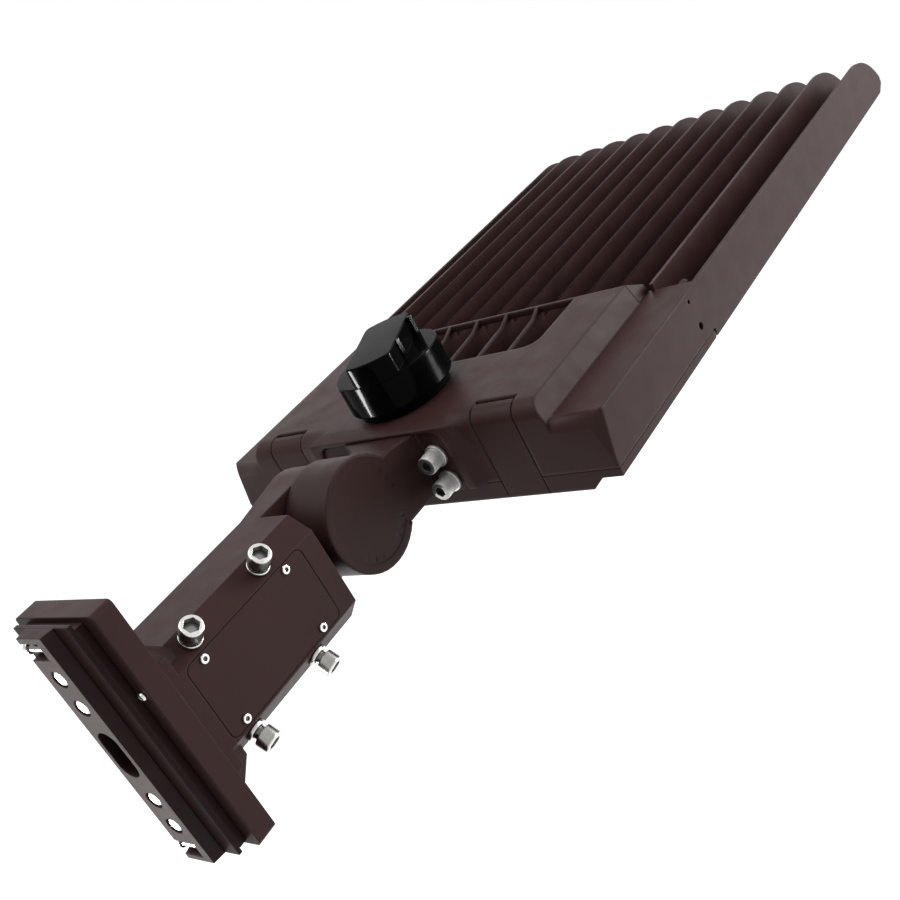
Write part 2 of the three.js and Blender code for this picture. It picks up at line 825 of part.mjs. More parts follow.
function bosses() {
  return [-boss.y, boss.y].map((y) =>
    rod('x', y, boss.z, boss.radius, head.shoulderFront - clear.overrun, boss.end, steps.small));
}

function railOutline() {
  const middle = head.railTop - railEnd.radius;
  return [
    [head.wallFront, head.seam], [rimStart, head.seam], [rimStart, head.bottom],
    [railEnd.foot, head.bottom], [head.far, railEnd.toe],
    ...arc(railEnd.start, middle, railEnd.radius, 90 - railEnd.sweep, 90, steps.corner * 2),
    [head.wallFront, head.railTop],
  ];
}

function rails() {
  return [
    prism('y', railOutline(), -head.half, head.rail - head.half),
    prism('y', railOutline(), head.half - head.rail, head.half),
  ];
}

function finOutline(start) {
  const middle = fin.top - finEnd.radius;
  return [
    [start, fin.floor - fin.floorDepth / 2],
    [start, fin.top],
    ...arc(finEnd.start, middle, finEnd.radius, 90, 90 - finEnd.sweep, steps.corner * 2),
    [finEnd.tip, fin.floor - fin.floorDepth / 2],
  ];
}

function scoopFinOutline() {
  const barStart = head.wallFront - scoop.bar;
  return [
    [scoop.back - clear.overrun, scoop.floor - head.skin / 2],
    [scoop.back - clear.overrun, scoop.finLow],
    [barStart - scoop.gusset, scoop.finHigh],
    [barStart, head.wallTop],
    [head.wallFront, head.wallTop],
    [head.wallFront, scoop.floor - head.skin / 2],
  ];
}

// The fins over the light pocket, of which the middle ones carry on into the scoop
function fins() {
  return Array.from({ length: fin.count }, (unused, i) => {
    const y = (i - (fin.count - 1) / 2) * fin.pitch;
    const from = y - fin.thickness / 2;
    const to = y + fin.thickness / 2;
    const outer = Math.abs(y) > head.boxHalf;
    const main = prism('y', finOutline((outer ? brace.end : head.wallFront) - clear.overrun), from, to);
    if (Math.abs(y) > scoop.finSpan) {
      return main;
    }
    return join(main, prism('y', scoopFinOutline(), from, to));
  });
}

// The sloping ends of the cover over the outermost grooves
function braces() {
  const outline = [
    [head.wallFront - clear.overrun, fin.floor - fin.floorDepth / 2],
    [head.wallFront - clear.overrun, head.wallTop],
    [head.wallFront, head.wallTop],
    [brace.end, fin.top],
    [brace.end, fin.floor - fin.floorDepth / 2],
  ];
  return [
    prism('y', outline, -head.boxHalf, -brace.inner).intersect(boxSlopes()),
    prism('y', outline, brace.inner, head.boxHalf).intersect(boxSlopes()),
  ];
}

function lightPocket() {
  const inner = pocket.ledge;
  return join(
    box(pocket.start, pocket.end, -pocket.half, pocket.half, head.bottom - clear.overrun, ledgeZ),
    box(pocket.start + inner, pocket.end - inner, inner - pocket.half, pocket.half - inner,
      head.bottom, pocketCeiling),
  );
}

function driverSpace() {
  const start = head.rear + head.rearWall;
  const innerHalf = head.boxTop - head.sideSkin;
  const sideHalf = doorGasket.half - doorGasket.width - clear.seam;
  const below = head.seam - clear.overrun;
  const upper = box(start, head.partition, -innerHalf, innerHalf, below, head.wallTop - head.skin);
  const lower = box(start, head.partition, -sideHalf, sideHalf, below, head.railTop - head.skin);
  const scoopKeep = box(
    scoop.back - head.skin, head.wallFront, -scoop.half - head.skin, scoop.half + head.skin,
    scoop.floor - head.skin, head.wallTop);
  const slotHalf = latch.half + head.sideSkin;
  const slotKeep = [-latch.y, latch.y].map((y) =>
    box(start - clear.overrun, latch.slotEnd + head.skin, y - slotHalf, y + slotHalf,
      latch.slotFloor - head.skin, head.wallTop));
  return cut(join(upper, lower), scoopKeep, ...slotKeep);
}

function scoopSpace() {
  const outline = [
    ...arc(scoop.back + scoop.corner, scoop.corner - scoop.half, scoop.corner, 180, 270, steps.corner),
    [head.wallFront + clear.overrun, -scoop.half],
    [head.wallFront + clear.overrun, scoop.half],
    ...arc(scoop.back + scoop.corner, scoop.half - scoop.corner, scoop.corner, 90, 180, steps.corner),
  ];
  return prism('z', outline, scoop.floor, head.wallTop + clear.overrun);
}

function latchChannel(y) {
  const inset = head.rear + latch.thickness + clear.seam;
  const reach = latch.half + latch.sideGap;
  const outer = head.rear - clear.overrun;
  const low = door.tray - clear.overrun;
  const sweep = [
    [outer, low], [outer, head.wallTop + clear.overrun],
    [latch.slotEnd, head.wallTop + clear.overrun], [latch.slotEnd, latch.slotFloor],
    [inset, latch.slotFloor], [inset, low],
  ];
  return prism('y', sweep, y - reach, y + reach);
}

function latchPin(y, radius, end) {
  const reach = latch.half + latch.sideGap + end;
  return rod('y', latch.pinX, latch.pinZ, radius, y - reach, y + reach, steps.small);
}

function hingeLugs() {
  const outline = [
    [door.pinX - doorNose, head.seam + clear.overrun],
    ...arc(door.pinX, doorAxis, doorNose, 180, 270, steps.corner),
    [head.shoulderFront + clear.overrun, head.bottom],
    [head.shoulderFront + clear.overrun, head.seam + clear.overrun],
  ];
  return [-door.lugY, door.lugY].map((y) => prism('y', outline, y - door.lugHalf, y + door.lugHalf));
}

function hingePinHole(y, radius, half) {
  return rod('y', door.pinX, doorAxis, radius, y - half, y + half, steps.small);
}

const frameScrewRows = [
  pocket.start + frameScrew.inset, (pocket.start + pocket.end) / 2, pocket.end - frameScrew.inset,
];
const frameScrewPlaces = frameScrewRows.flatMap((x) =>
  [-1, 1].map((side) => [x, side * (pocket.half - frameScrew.inset)]));

function makeHousing() {
  const inside = head.half - clear.seam;
  const finSpan = box(
    head.wallFront - clear.overrun, finEnd.tip, -inside, inside, pocketCeiling - clear.overrun, fin.floor);
  const rim = cut(
    box(rimStart, railEnd.foot, -inside, inside, head.bottom, fin.floor),
    box(pocket.end + clear.overrun * 2, head.far, -head.half, head.half, head.bottom - clear.overrun,
      railEnd.toe));
  const partition = box(head.partition, pocket.start, -inside, inside, head.seam, fin.floor);
  const barHalf = scoop.half + clear.overrun;
  const bar = box(head.wallFront - scoop.bar, head.wallFront, -barHalf, barHalf,
    head.wallTop - scoop.barHeight, head.wallTop);
  const shell = cut(join(driverBox(), ...shoulders(), rearCollar()), driverSpace(), scoopSpace());
  const body = join(
    shell, ...rails(), finSpan, rim, partition, bar, ...fins(), ...braces(), ...hingeLugs());
  const recessHalf = bracket.spigotHalf + clear.seam;
  const recess = prism(
    'x', rounded(-recessHalf, recessHalf, door.tray, bracket.spigotTop + clear.seam, bracket.spigotCorner),
    head.rear - clear.overrun, recessFloor);
  const padHalf = bracket.half + clear.seam;
  const padRecess = prism(
    'x', rounded(-padHalf, padHalf, door.tray, bracket.top + clear.seam, bracket.corner),
    head.rear - collar.proud - clear.overrun, head.rear);
  const boltHoles = bracketBoltPlaces.map(([y, z]) =>
    rod('x', y, z, bracketBolt.shankRadius + clear.slide, head.rear,
      bracket.face + bracketBolt.length + clear.seam, steps.small));
  const wireWay = rod('x', knuckleFace - knuckle.duct, -knuckle.ductDrop, knuckle.ductRadius, head.rear,
    head.rear + head.rearWall + clear.overrun, steps.small);
  const receptacleHole = rod('z', receptacle.x, 0, receptacle.shankRadius + clear.seam, 0,
    head.wallTop + clear.overrun, steps.large);
  const frameHoles = frameScrewPlaces.map(([x, y]) =>
    rod('z', x, y, frameScrew.shankRadius + clear.slide, head.bottom,
      head.bottom + frameScrew.length + clear.seam, steps.small));
  const sideHoles = [-head.half, head.half].flatMap((y) => {
    const from = y - sideHole.depth;
    const to = y + sideHole.depth;
    return [
      rod('y', sideHole.x, sideHole.z, sideHole.radius, from, to, steps.small),
      rod('y', sideHole.upperX, sideHole.upperZ, sideHole.upperRadius, from, to, steps.small),
    ];
  });
  const pins = [-1, 1].flatMap((side) => [
    latchPin(side * latch.y, latch.pinRadius + clear.slide, latch.pinEnd + clear.slide),
    hingePinHole(side * door.lugY, door.pinRadius + clear.seat, door.pinLength),
  ]);
  const result = cut(
    body, lightPocket(), recess, padRecess, ...boltHoles, wireWay, receptacleHole, ...frameHoles,
    ...sideHoles, latchChannel(-latch.y), latchChannel(latch.y), ...pins);
  place('housing', join(result.intersect(rearZone(0)), ...bosses()), 'bronze');
  place('heat_sink', cut(result, rearZone(clear.seat)), 'bronze');
}

// The driver box and its shoulders end where the finned part begins
function rearZone(gap) {
  const reach = head.half + clear.overrun;
  const low = head.bottom - clear.overrun;
  const high = head.wallTop + clear.overrun;
  return join(
    box(head.rear - collar.proud - clear.overrun, head.wallFront + gap, -reach, reach, low, high),
    box(head.rear, head.shoulderFront + gap, -reach, gap - head.boxHalf, low, high),
    box(head.rear, head.shoulderFront + gap, head.boxHalf - gap, reach, low, high));
}

// Light engine
function makeLightEngine() {
  const inner = pocket.ledge;
  const x0 = pocket.start + inner;
  const x1 = pocket.end - inner;
  const y1 = pocket.half - inner;
  const boardTop = pocketCeiling - clear.seat;
  const boardBottom = boardTop - ledBoard.thickness;
  const margin = ledBoard.margin;
  place('led_board', box(x0 + margin, x1 - margin, margin - y1, y1 - margin, boardBottom, boardTop), 'board');
  const lensTop = boardBottom - clear.seat;
  const lensBottom = lensTop - lens.thickness;
  const domes = [];
  for (let row = 0; row < lens.rows; row += 1) {
    for (let column = 0; column < lens.columns; column += 1) {
      const x = (x0 + x1) / 2 + (row - (lens.rows - 1) / 2) * lens.pitchX;
      const y = (column - (lens.columns - 1) / 2) * lens.pitchY;
      domes.push(rod('z', x, y, lens.top, lensBottom - lens.height, lensBottom + lens.thickness / 2,
        steps.small, lens.radius));
    }
  }
  const edge = lens.margin;
  const panel = join(box(x0 + edge, x1 - edge, edge - y1, y1 - edge, lensBottom, lensTop), ...domes);
  place('lens_panel', panel, 'clear');
  const gasketTop = lensBottom - clear.seat;
  const gasketBottom = gasketTop - lensGasket.thickness;
  const band = edge + lensGasket.width;
  place('lens_gasket', cut(
    box(x0 + edge, x1 - edge, edge - y1, y1 - edge, gasketBottom, gasketTop),
    box(x0 + band, x1 - band, band - y1, y1 - band, gasketBottom - clear.overrun, gasketTop + clear.overrun),
  ), 'rubber');
  const slack = clear.seam;
  const border = frame.border;
  const ring = cut(
    box(pocket.start + slack, pocket.end - slack, slack - pocket.half, pocket.half - slack,
      head.bottom, head.bottom + frame.depth),
    box(pocket.start + border, pocket.end - border, border - pocket.half, pocket.half - border,
      head.bottom - clear.overrun, head.bottom + frame.depth + clear.overrun),
    ...frameScrewPlaces.map(([x, y]) =>
      rod('z', x, y, frameScrew.shankRadius + clear.slide, head.bottom - clear.overrun, ledgeZ, steps.small)),
    ...frameScrewPlaces.map(([x, y]) =>
      rod('z', x, y, frameScrew.headRadius + clear.slide, head.bottom - clear.overrun,
        head.bottom + frameScrew.headDepth + clear.seat, steps.small)),
  );
  place('lens_frame', ring, 'bronze');
  const bolt = cut(
    screw(frameScrew, frameScrew.length - frameScrew.headDepth, steps.small),
    hexSocket(frameScrew.shankRadius, frameScrew.headDepth, frameScrew.headDepth / 2));
  frameScrewPlaces.forEach(([x, y], i) => {
    place(`frame_screw_${i + 1}`, bolt, 'steel', at(x, y, head.bottom + frameScrew.headDepth), at(0, 0, -1));
  });
}

// Door and what it carries
function makeDoor() {
  const lid = prism('y', [
    [head.rear, head.bottom], [head.rear, doorTop],
    ...arc(door.pinX, doorAxis, doorNose, 90, -90, steps.corner * 2),
  ], -head.half, head.half);
  const trayAcross = prism('x', [
    [-door.slope, head.bottom + clear.overrun], [-door.slope, head.bottom], [-door.trayHalf, door.tray],
    [door.trayHalf, door.tray], [door.slope, head.bottom], [door.slope, head.bottom + clear.overrun],
  ], head.rear, door.trayFront);
  const trayAlong = prism('y', [
    [head.rear, doorTop], [head.rear, door.tray + door.rearRound],
    ...arc(head.rear + door.rearRound, door.tray + door.rearRound, door.rearRound, 180, 270, steps.corner),
    [door.trayFront - door.rearRound, door.tray], [door.trayFront, doorTop],
  ], -head.half, head.half);
  const solidDoor = join(lid, trayAcross.intersect(trayAlong));
  makeDoorEdges(solidDoor);
  const floor = door.tray + door.wall;
  const cavity = box(
    door.cavityStart, door.cavityEnd, -door.cavityHalf, door.cavityHalf, floor, doorTop + clear.overrun);
  const seal = doorGasket;
  const groove = cut(
    box(seal.start, seal.end, -seal.half, seal.half, doorTop - seal.depth, doorTop + clear.overrun),
    box(seal.start + seal.width, seal.end - seal.width, seal.width - seal.half, seal.half - seal.width,
      doorTop - seal.depth * 2, doorTop + clear.overrun * 2));
  const gapHalf = door.lugHalf + clear.seam;
  const lugGaps = [-door.lugY, door.lugY].map((y) =>
    box(door.pinX - doorNose - door.lugRelief, head.shoulderFront + clear.overrun, y - gapHalf, y + gapHalf,
      head.bottom - clear.overrun, doorTop + clear.overrun));
  const pinHoles = [-door.lugY, door.lugY].map((y) =>
    hingePinHole(y, door.pinRadius + clear.slide, door.pinLength / 2 + clear.seam));
  const edgeZone = box(head.rear - clear.overrun, doorStart, -head.half, head.half, door.tray, doorTop);
  place('driver_door', cut(solidDoor, edgeZone, cavity, groove, ...lugGaps, ...pinHoles), 'bronze');
  const inset = clear.seat;
  const ring = cut(
    box(seal.start + inset, seal.end - inset, inset - seal.half, seal.half - inset,
      doorTop - seal.depth + inset, head.seam - inset),
    box(seal.start + seal.width - inset, seal.end - seal.width + inset, seal.width - inset - seal.half,
      seal.half - seal.width + inset, doorTop - seal.depth * 2, head.seam));
  place('door_gasket', ring, 'rubber');
  [['hinge_pin_right', -door.lugY], ['hinge_pin_left', door.lugY]].forEach(([name, y]) => {
    place(name, hingePinHole(y, door.pinRadius, door.pinLength / 2), 'steel');
  });
  placeOnDoor('driver', driver, floor, []);
  placeOnDoor('surge_protector', surge, floor, []);
  const ways = Array.from({ length: terminal.ways }, (unused, i) => {
    const y = terminal.from + ((terminal.to - terminal.from) * (i + 1 / 2)) / terminal.ways;
    return rod('x', y, floor + terminal.height / 2, terminal.wireRadius, terminal.start - clear.overrun,
      terminal.start + terminal.wireDepth, steps.small);
  });
  placeOnDoor('terminal_block', terminal, floor, ways);
}

// The rear edge of the door stands between and beside the latches
function makeDoorEdges(solidDoor) {
  const inner = latch.y - latch.half - latch.sideGap;
  const outer = latch.y + latch.half + latch.sideGap;
  [['right', -head.half, -outer], ['middle', -inner, inner], ['left', outer, head.half]].forEach(
    ([side, from, to]) => {
      const zone = box(head.rear - clear.overrun, doorStart - clear.seat, from, to, door.tray, doorTop);
      place(`door_edge_${side}`, solidDoor.intersect(zone), 'bronze');
    });
}

function placeOnDoor(name, size, floor, tools) {
  const base = floor + clear.seat;
  const body = box(size.start, size.start + size.length, size.from, size.to, base, base + size.height);
  place(name, cut(body, ...tools), name === 'driver' ? 'driver' : 'board');
}

// Latches
function makeLatches() {
  const round = head.rearRound;
  const foot = door.rearRound;
  const strap = [
    [head.rear + latch.thickness, door.tray],
    ...arc(head.rear + foot, door.tray + foot, foot, 270, 180, steps.corner),
    ...arc(head.rear + round, head.wallTop - round, round, 180, 90, steps.corner),
    ...arc(head.rear + round, head.wallTop - round, round - latch.thickness, 90, 180, steps.corner),
  ];
  [['right', -latch.y], ['left', latch.y]].forEach(([side, y]) => {
    const from = y - latch.half;
    const to = y + latch.half;
    const knob = rod('y', latch.pinX, latch.pinZ, latch.knobRadius, from, to, steps.medium);
    const pin = latchPin(y, latch.pinRadius, latch.pinEnd);
    place(`latch_${side}`, join(prism('y', strap, from, to), knob, pin), 'bronze');
  });
}

// Receptacle and cap
function makeReceptacle() {
  const base = head.wallTop + clear.seat;
  const top = base + receptacle.height;
  const x = receptacle.x;
  const middle = top - receptacle.height / 2;
  const body = join(
    rod('z', x, 0, receptacle.radius, base, top, steps.large),
    rod('z', x, 0, receptacle.shankRadius, base - receptacle.shankDepth, middle, steps.large));
  const wellFloor = top - receptacle.wellDepth;
  const well = cut(
    rod('z', x, 0, receptacle.wellOuter, wellFloor, top + clear.overrun, steps.large),
    rod('z', x, 0, receptacle.wellInner, wellFloor, top + clear.overrun, steps.medium));
  place('photocell_receptacle', cut(body, well), 'black');
}

// A bar seen from above in the cap's own turned frame, along u and across v
function capBar(u0, u1, v0, v1, from, to) {
  const angle = THREE.MathUtils.degToRad(cap.turn);
  const corners = [[u0, v0], [u1, v0], [u1, v1], [u0, v1]].map(([u, v]) => [
    receptacle.x + u * Math.cos(angle) - v * Math.sin(angle),
    u * Math.sin(angle) + v * Math.cos(angle),
  ]);
  return prism('z', corners, from, to);
}

function makeCap() {
  const base = head.wallTop + receptacle.height + clear.slide * 2;
  const x = receptacle.x;
  const deck = base + cap.skirt;
  const top = base + cap.height;
  const upperBase = deck - clear.overrun;
  const skirt = rod('z', x, 0, cap.radius, base, deck, steps.large);
  const dome = rod('z', x, 0, cap.radius - clear.seat, upperBase, top, steps.large);
  const grip = capBar(-cap.gripBack, cap.radius, -cap.gripHalf, cap.gripHalf, upperBase, top);
  const tabs = cap.tabPlaces.map((u) => capBar(
    u - cap.tabWidth / 2, u + cap.tabWidth / 2, -cap.gripHalf - cap.tabDepth, 0, upperBase, top - cap.tabDrop));
  const upper = dome.intersect(join(grip, ...tabs));
  place('twist_lock_cap', join(skirt, upper), 'black');
  for (let i = 0; i < blade.count; i += 1) {
    const angle = (2 * Math.PI * i) / blade.count;
    const geometry = new THREE.BoxGeometry(blade.thickness, blade.half * 2, blade.length);
    geometry.translate(blade.radius, 0, -blade.length / 2);
    geometry.rotateZ(angle);
    place(`contact_blade_${i + 1}`, solid(geometry), 'brass', at(x, 0, base - clear.seat));
  }
}

makeContactPlate();
makePlateScrews();
makeEndScrews();
makeAdaptor();
makeArmBody();
makeArmCover();
makeClampScrews();
makeFlangeScrew();
makeKnuckleBolt();
makeBracket();
makeBracketBolts();
makeHousing();
makeLightEngine();
makeDoor();
makeLatches();
makeReceptacle();
makeCap();

export default group;
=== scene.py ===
import json
import math
from itertools import product

import bmesh
import bpy
import numpy as np
from mathutils import Matrix, Vector

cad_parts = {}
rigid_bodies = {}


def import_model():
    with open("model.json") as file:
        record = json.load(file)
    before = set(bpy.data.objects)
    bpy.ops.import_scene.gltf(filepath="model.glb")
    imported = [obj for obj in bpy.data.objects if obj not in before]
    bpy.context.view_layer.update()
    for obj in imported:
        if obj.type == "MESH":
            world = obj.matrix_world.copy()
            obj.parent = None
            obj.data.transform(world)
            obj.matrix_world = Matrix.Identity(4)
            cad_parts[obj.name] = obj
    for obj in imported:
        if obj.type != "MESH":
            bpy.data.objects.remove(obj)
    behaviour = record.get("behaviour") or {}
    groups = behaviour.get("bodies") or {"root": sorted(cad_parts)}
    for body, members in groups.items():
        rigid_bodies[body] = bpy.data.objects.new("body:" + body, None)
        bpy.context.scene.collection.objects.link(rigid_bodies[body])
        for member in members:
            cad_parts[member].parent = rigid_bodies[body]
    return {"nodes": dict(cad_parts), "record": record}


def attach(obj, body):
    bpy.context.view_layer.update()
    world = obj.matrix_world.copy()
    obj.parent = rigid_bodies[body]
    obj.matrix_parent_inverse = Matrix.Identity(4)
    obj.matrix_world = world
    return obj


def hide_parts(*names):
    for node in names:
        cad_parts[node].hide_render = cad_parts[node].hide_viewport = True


mm = 0.001
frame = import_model()
nodes = frame["nodes"]
bodies = frame["record"]["behaviour"]["bodies"]
slotOf = {s["node"]: s["material_slot"] for s in frame["record"]["subparts"]}
bodyOf = {node: body for body, members in bodies.items() for node in members}


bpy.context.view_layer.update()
print("frame loaded:", len(nodes), "nodes")


# Materials, all laid in metres on Object coordinates
def startMaterial(name):
    mat = bpy.data.materials.new(name)
    mat.use_nodes = True
    tree = mat.node_tree
    tree.nodes.clear()
    out = tree.nodes.new("ShaderNodeOutputMaterial")
    shader = tree.nodes.new("ShaderNodeBsdfPrincipled")
    tree.links.new(shader.outputs["BSDF"], out.inputs["Surface"])
    coords = tree.nodes.new("ShaderNodeTexCoord")
    return mat, tree, shader, coords.outputs["Object"]


def noise(tree, where, scale, detail=3.0, roughness=0.5, stretch=None):
    node = tree.nodes.new("ShaderNodeTexNoise")
    node.inputs["Scale"].default_value = scale
    node.inputs["Detail"].default_value = detail
    node.inputs["Roughness"].default_value = roughness
    if stretch:
        mapping = tree.nodes.new("ShaderNodeMapping")
        mapping.inputs["Scale"].default_value = stretch
        tree.links.new(where, mapping.inputs["Vector"])
        where = mapping.outputs["Vector"]
    tree.links.new(where, node.inputs["Vector"])
    return node.outputs["Fac"]


def spread(tree, value, low, high, fromLow=0.3, fromHigh=0.7):
    node = tree.nodes.new("ShaderNodeMapRange")
    node.inputs["From Min"].default_value = fromLow
    node.inputs["From Max"].default_value = fromHigh
    node.inputs["To Min"].default_value = low
    node.inputs["To Max"].default_value = high
    tree.links.new(value, node.inputs["Value"])
    return node.outputs["Result"]


def calc(tree, operation, first, second=0.0):
    # one Math node, where either side is a socket or a number
    node = tree.nodes.new("ShaderNodeMath")
    node.operation = operation
    for socket, value in zip(node.inputs, (first, second)):
        if isinstance(value, float):
            socket.default_value = value
        else:
            tree.links.new(value, socket)
    return node.outputs[0]


def blendColor(tree, factor, first, second):
    # sockets 6 and 7 are the node's two colours
    node = tree.nodes.new("ShaderNodeMix")
    node.data_type = "RGBA"
    for socket, value in ((node.inputs[6], first), (node.inputs[7], second)):
        if isinstance(value, tuple):
            socket.default_value = (*value, 1)
        else:
            tree.links.new(value, socket)
    tree.links.new(factor, node.inputs[0])
    return node.outputs[2]


def blendNormal(tree, factor, first, second):
    # sockets 4 and 5 are the node's two vectors
    node = tree.nodes.new("ShaderNodeMix")
    node.data_type = "VECTOR"
    tree.links.new(factor, node.inputs[0])
    tree.links.new(first, node.inputs[4])
    tree.links.new(second, node.inputs[5])
    return node.outputs[1]


def roundEdges(tree, radius):
    # the shading normal with edges rounded to a radius, which is a number or a socket
    node = tree.nodes.new("ShaderNodeBevel")
    node.samples = 6
    if isinstance(radius, float):
        node.inputs["Radius"].default_value = radius
    else:
        tree.links.new(radius, node.inputs["Radius"])
    return node.outputs["Normal"]


def edgeMask(tree, roundNormal, plainNormal):
    # 0 on flat ground, rising where the rounded normal leaves the true one
    dot = tree.nodes.new("ShaderNodeVectorMath")
    dot.operation = "DOT_PRODUCT"
    tree.links.new(roundNormal, dot.inputs[0])
    tree.links.new(plainNormal, dot.inputs[1])
    return spread(tree, dot.outputs["Value"], 1.0, 0.0, 0.72, 0.97)


def bump(tree, height, distance, strength=1.0, normal=None):
    node = tree.nodes.new("ShaderNodeBump")
    node.inputs["Strength"].default_value = strength
    node.inputs["Distance"].default_value = distance
    tree.links.new(height, node.inputs["Height"])
    if normal is not None:
        tree.links.new(normal, node.inputs["Normal"])
    return node.outputs["Normal"]


coatLook = {
    "base": (0.042, 0.0195, 0.018),
    "dark": (0.036, 0.0165, 0.0152),
    "edge": (0.075, 0.045, 0.042),
    "rough": (0.38, 0.50),
    "driftScale": 14,
    "wearScale": 90,
    "scuffScale": 60,
    "glossScale": 55,
    "grainScale": 2600,
    "grainDepth": 0.00003,
    "edgeRadius": 0.0012,
    "ior": 1.22,
}
headLook = {
    "railEdge": 0.0016,
    "finEdge": 0.0006,
    "boxEdge": 0.0030,
    "railStart": 0.150,
    "boxEnd": 0.400,
    "railBlend": 0.002,
    "boxBlend": 0.01,
    "joinPlaces": (0.420, 0.404),
    "joinHalf": 0.0018,
}
discLook = {
    "middle": (0.1975, 0.0),
    "ring": 0.0276,
    "ringHalf": 0.0030,
    "spots": 26.0,
    "spotRange": (0.1, 0.9),
    "groups": 5.0,
    "groupRange": (-0.4, 0.3),
    "lowerRange": (0.006, -0.004),
    "face": -0.0300,
    "tone": (0.013, 0.0065, 0.006),
    "depth": 0.00025,
}
# the normal's x on faces that count as turned to the pole, fully and not at all
poleFacing = (-0.98, -0.85)


def discSpots(tree, apart, look):
    # soft angle marks near the rim of the knuckle's disc: rows of dimples, in groups left and
    # below, with painted shade that darkens them besides their bump
    x = calc(tree, "SUBTRACT", apart.outputs[0], look["middle"][0])
    z = apart.outputs[2]
    squares = calc(tree, "ADD", calc(tree, "MULTIPLY", x, x), calc(tree, "MULTIPLY", z, z))
    off = calc(tree, "ABSOLUTE", calc(tree, "SUBTRACT", calc(tree, "SQRT", squares), look["ring"]))
    band = spread(tree, off, 1.0, 0.0, 0.0, look["ringHalf"])
    angle = calc(tree, "ARCTAN2", z, x)
    spotWave = calc(tree, "SINE", calc(tree, "MULTIPLY", angle, look["spots"]))
    groupWave = calc(tree, "SINE", calc(tree, "MULTIPLY", angle, look["groups"]))
    spots = spread(tree, spotWave, 0.0, 1.0, *look["spotRange"])
    groups = spread(tree, groupWave, 0.0, 1.0, *look["groupRange"])
    lower = spread(tree, calc(tree, "SUBTRACT", z, x), 0.0, 1.0, *look["lowerRange"])
    front = calc(tree, "LESS_THAN", apart.outputs[1], look["face"])
    rows = calc(tree, "MULTIPLY", band, spots)
    marks = calc(tree, "MULTIPLY", rows, calc(tree, "MULTIPLY", groups, lower))
    return calc(tree, "MULTIPLY", marks, front)


def coatMaterial(name, look, head=None, disc=None, front=None):
    # powder coat: slow drift of tone, fine orange-peel grain, slightly paler edges
    mat, tree, shader, where = startMaterial(name)
    drift = noise(tree, where, look["driftScale"], 4, 0.6)
    body = blendColor(tree, spread(tree, drift, 0.0, 1.0), look["dark"], look["base"])
    radius = look["edgeRadius"]
    apart = tree.nodes.new("ShaderNodeSeparateXYZ")
    tree.links.new(where, apart.inputs[0])
    if front:
        # faces towards the pole are painted a tone of their own: painted shade on the arm's flange
        # face, and on the contact plate a pale tone that stands for the bare contact face and is in
        # part painted light, for the light that face catches
        facing = tree.nodes.new("ShaderNodeSeparateXYZ")
        tree.links.new(tree.nodes.new("ShaderNodeTexCoord").outputs["Normal"], facing.inputs[0])
        paintedPoleSide = spread(tree, facing.outputs[0], 1.0, 0.0, *poleFacing)
        scuff = spread(tree, noise(tree, where, look["scuffScale"], 4, 0.7), 0.75, 1.0)
        body = blendColor(tree, calc(tree, "MULTIPLY", paintedPoleSide, scuff), body, front)
    if disc:
        # painted shade: the disc's marks are painted darker for the shade in their dimples
        marks = discSpots(tree, apart, disc)
        body = blendColor(tree, marks, body, disc["tone"])
    if head:
        # the driver box is softly rounded, the rails less and the fins crisp, and no edge shows
        # where two castings meet on a rail
        side = calc(tree, "ABSOLUTE", apart.outputs[1])
        start, end = head["railStart"], head["boxEnd"]
        railRadius = spread(
            tree, side, head["finEdge"], head["railEdge"], start, start + head["railBlend"])
        boxRadius = spread(
            tree, apart.outputs[0], head["boxEdge"], 0.0, end, end + head["boxBlend"])
        radius = calc(tree, "MAXIMUM", railRadius, boxRadius)
    roundNormal = roundEdges(tree, radius)
    plainNormal = tree.nodes.new("ShaderNodeNewGeometry").outputs["Normal"]
    edges = edgeMask(tree, roundNormal, plainNormal)
    if head:
        joins = []
        for place in head["joinPlaces"]:
            away = calc(tree, "ABSOLUTE", calc(tree, "SUBTRACT", apart.outputs[0], place))
            joins.append(calc(tree, "LESS_THAN", away, head["joinHalf"]))
        onRail = calc(tree, "GREATER_THAN", side, start)
        near = calc(tree, "MULTIPLY", calc(tree, "MAXIMUM", *joins), onRail)
        roundNormal = blendNormal(tree, near, roundNormal, plainNormal)
        edges = calc(tree, "MULTIPLY", edges, calc(tree, "SUBTRACT", 1.0, near))
    wearCloud = noise(tree, where, look["wearScale"], 4, 0.65)
    wear = spread(tree, wearCloud, 0.1, 0.6, 0.35, 0.65)
    worn = calc(tree, "MULTIPLY", edges, wear)
    tree.links.new(blendColor(tree, worn, body, look["edge"]), shader.inputs["Base Color"])
    low, high = look["rough"]
    gloss = spread(tree, noise(tree, where, look["glossScale"], 3), low, high)
    tree.links.new(gloss, shader.inputs["Roughness"])
    grain = noise(tree, where, look["grainScale"], 2, 0.55)
    normal = bump(tree, grain, look["grainDepth"], 0.6, roundNormal)
    if disc:
        normal = bump(tree, calc(tree, "SUBTRACT", 1.0, marks), disc["depth"], 1.0, normal)
    tree.links.new(normal, shader.inputs["Normal"])
    shader.inputs["IOR"].default_value = look["ior"]
    return mat


steelLook = {
    "bright": (0.74, 0.73, 0.70),
    # painted shade and painted dark reflection, laid where the tone attribute is low
    "dark": (0.060, 0.056, 0.053),
    "rough": (0.16, 0.30),
    "stainScale": 420,
    "lineScale": 1500,
    "lineDepth": 0.00001,
    "edgeRadius": 0.0003,
}


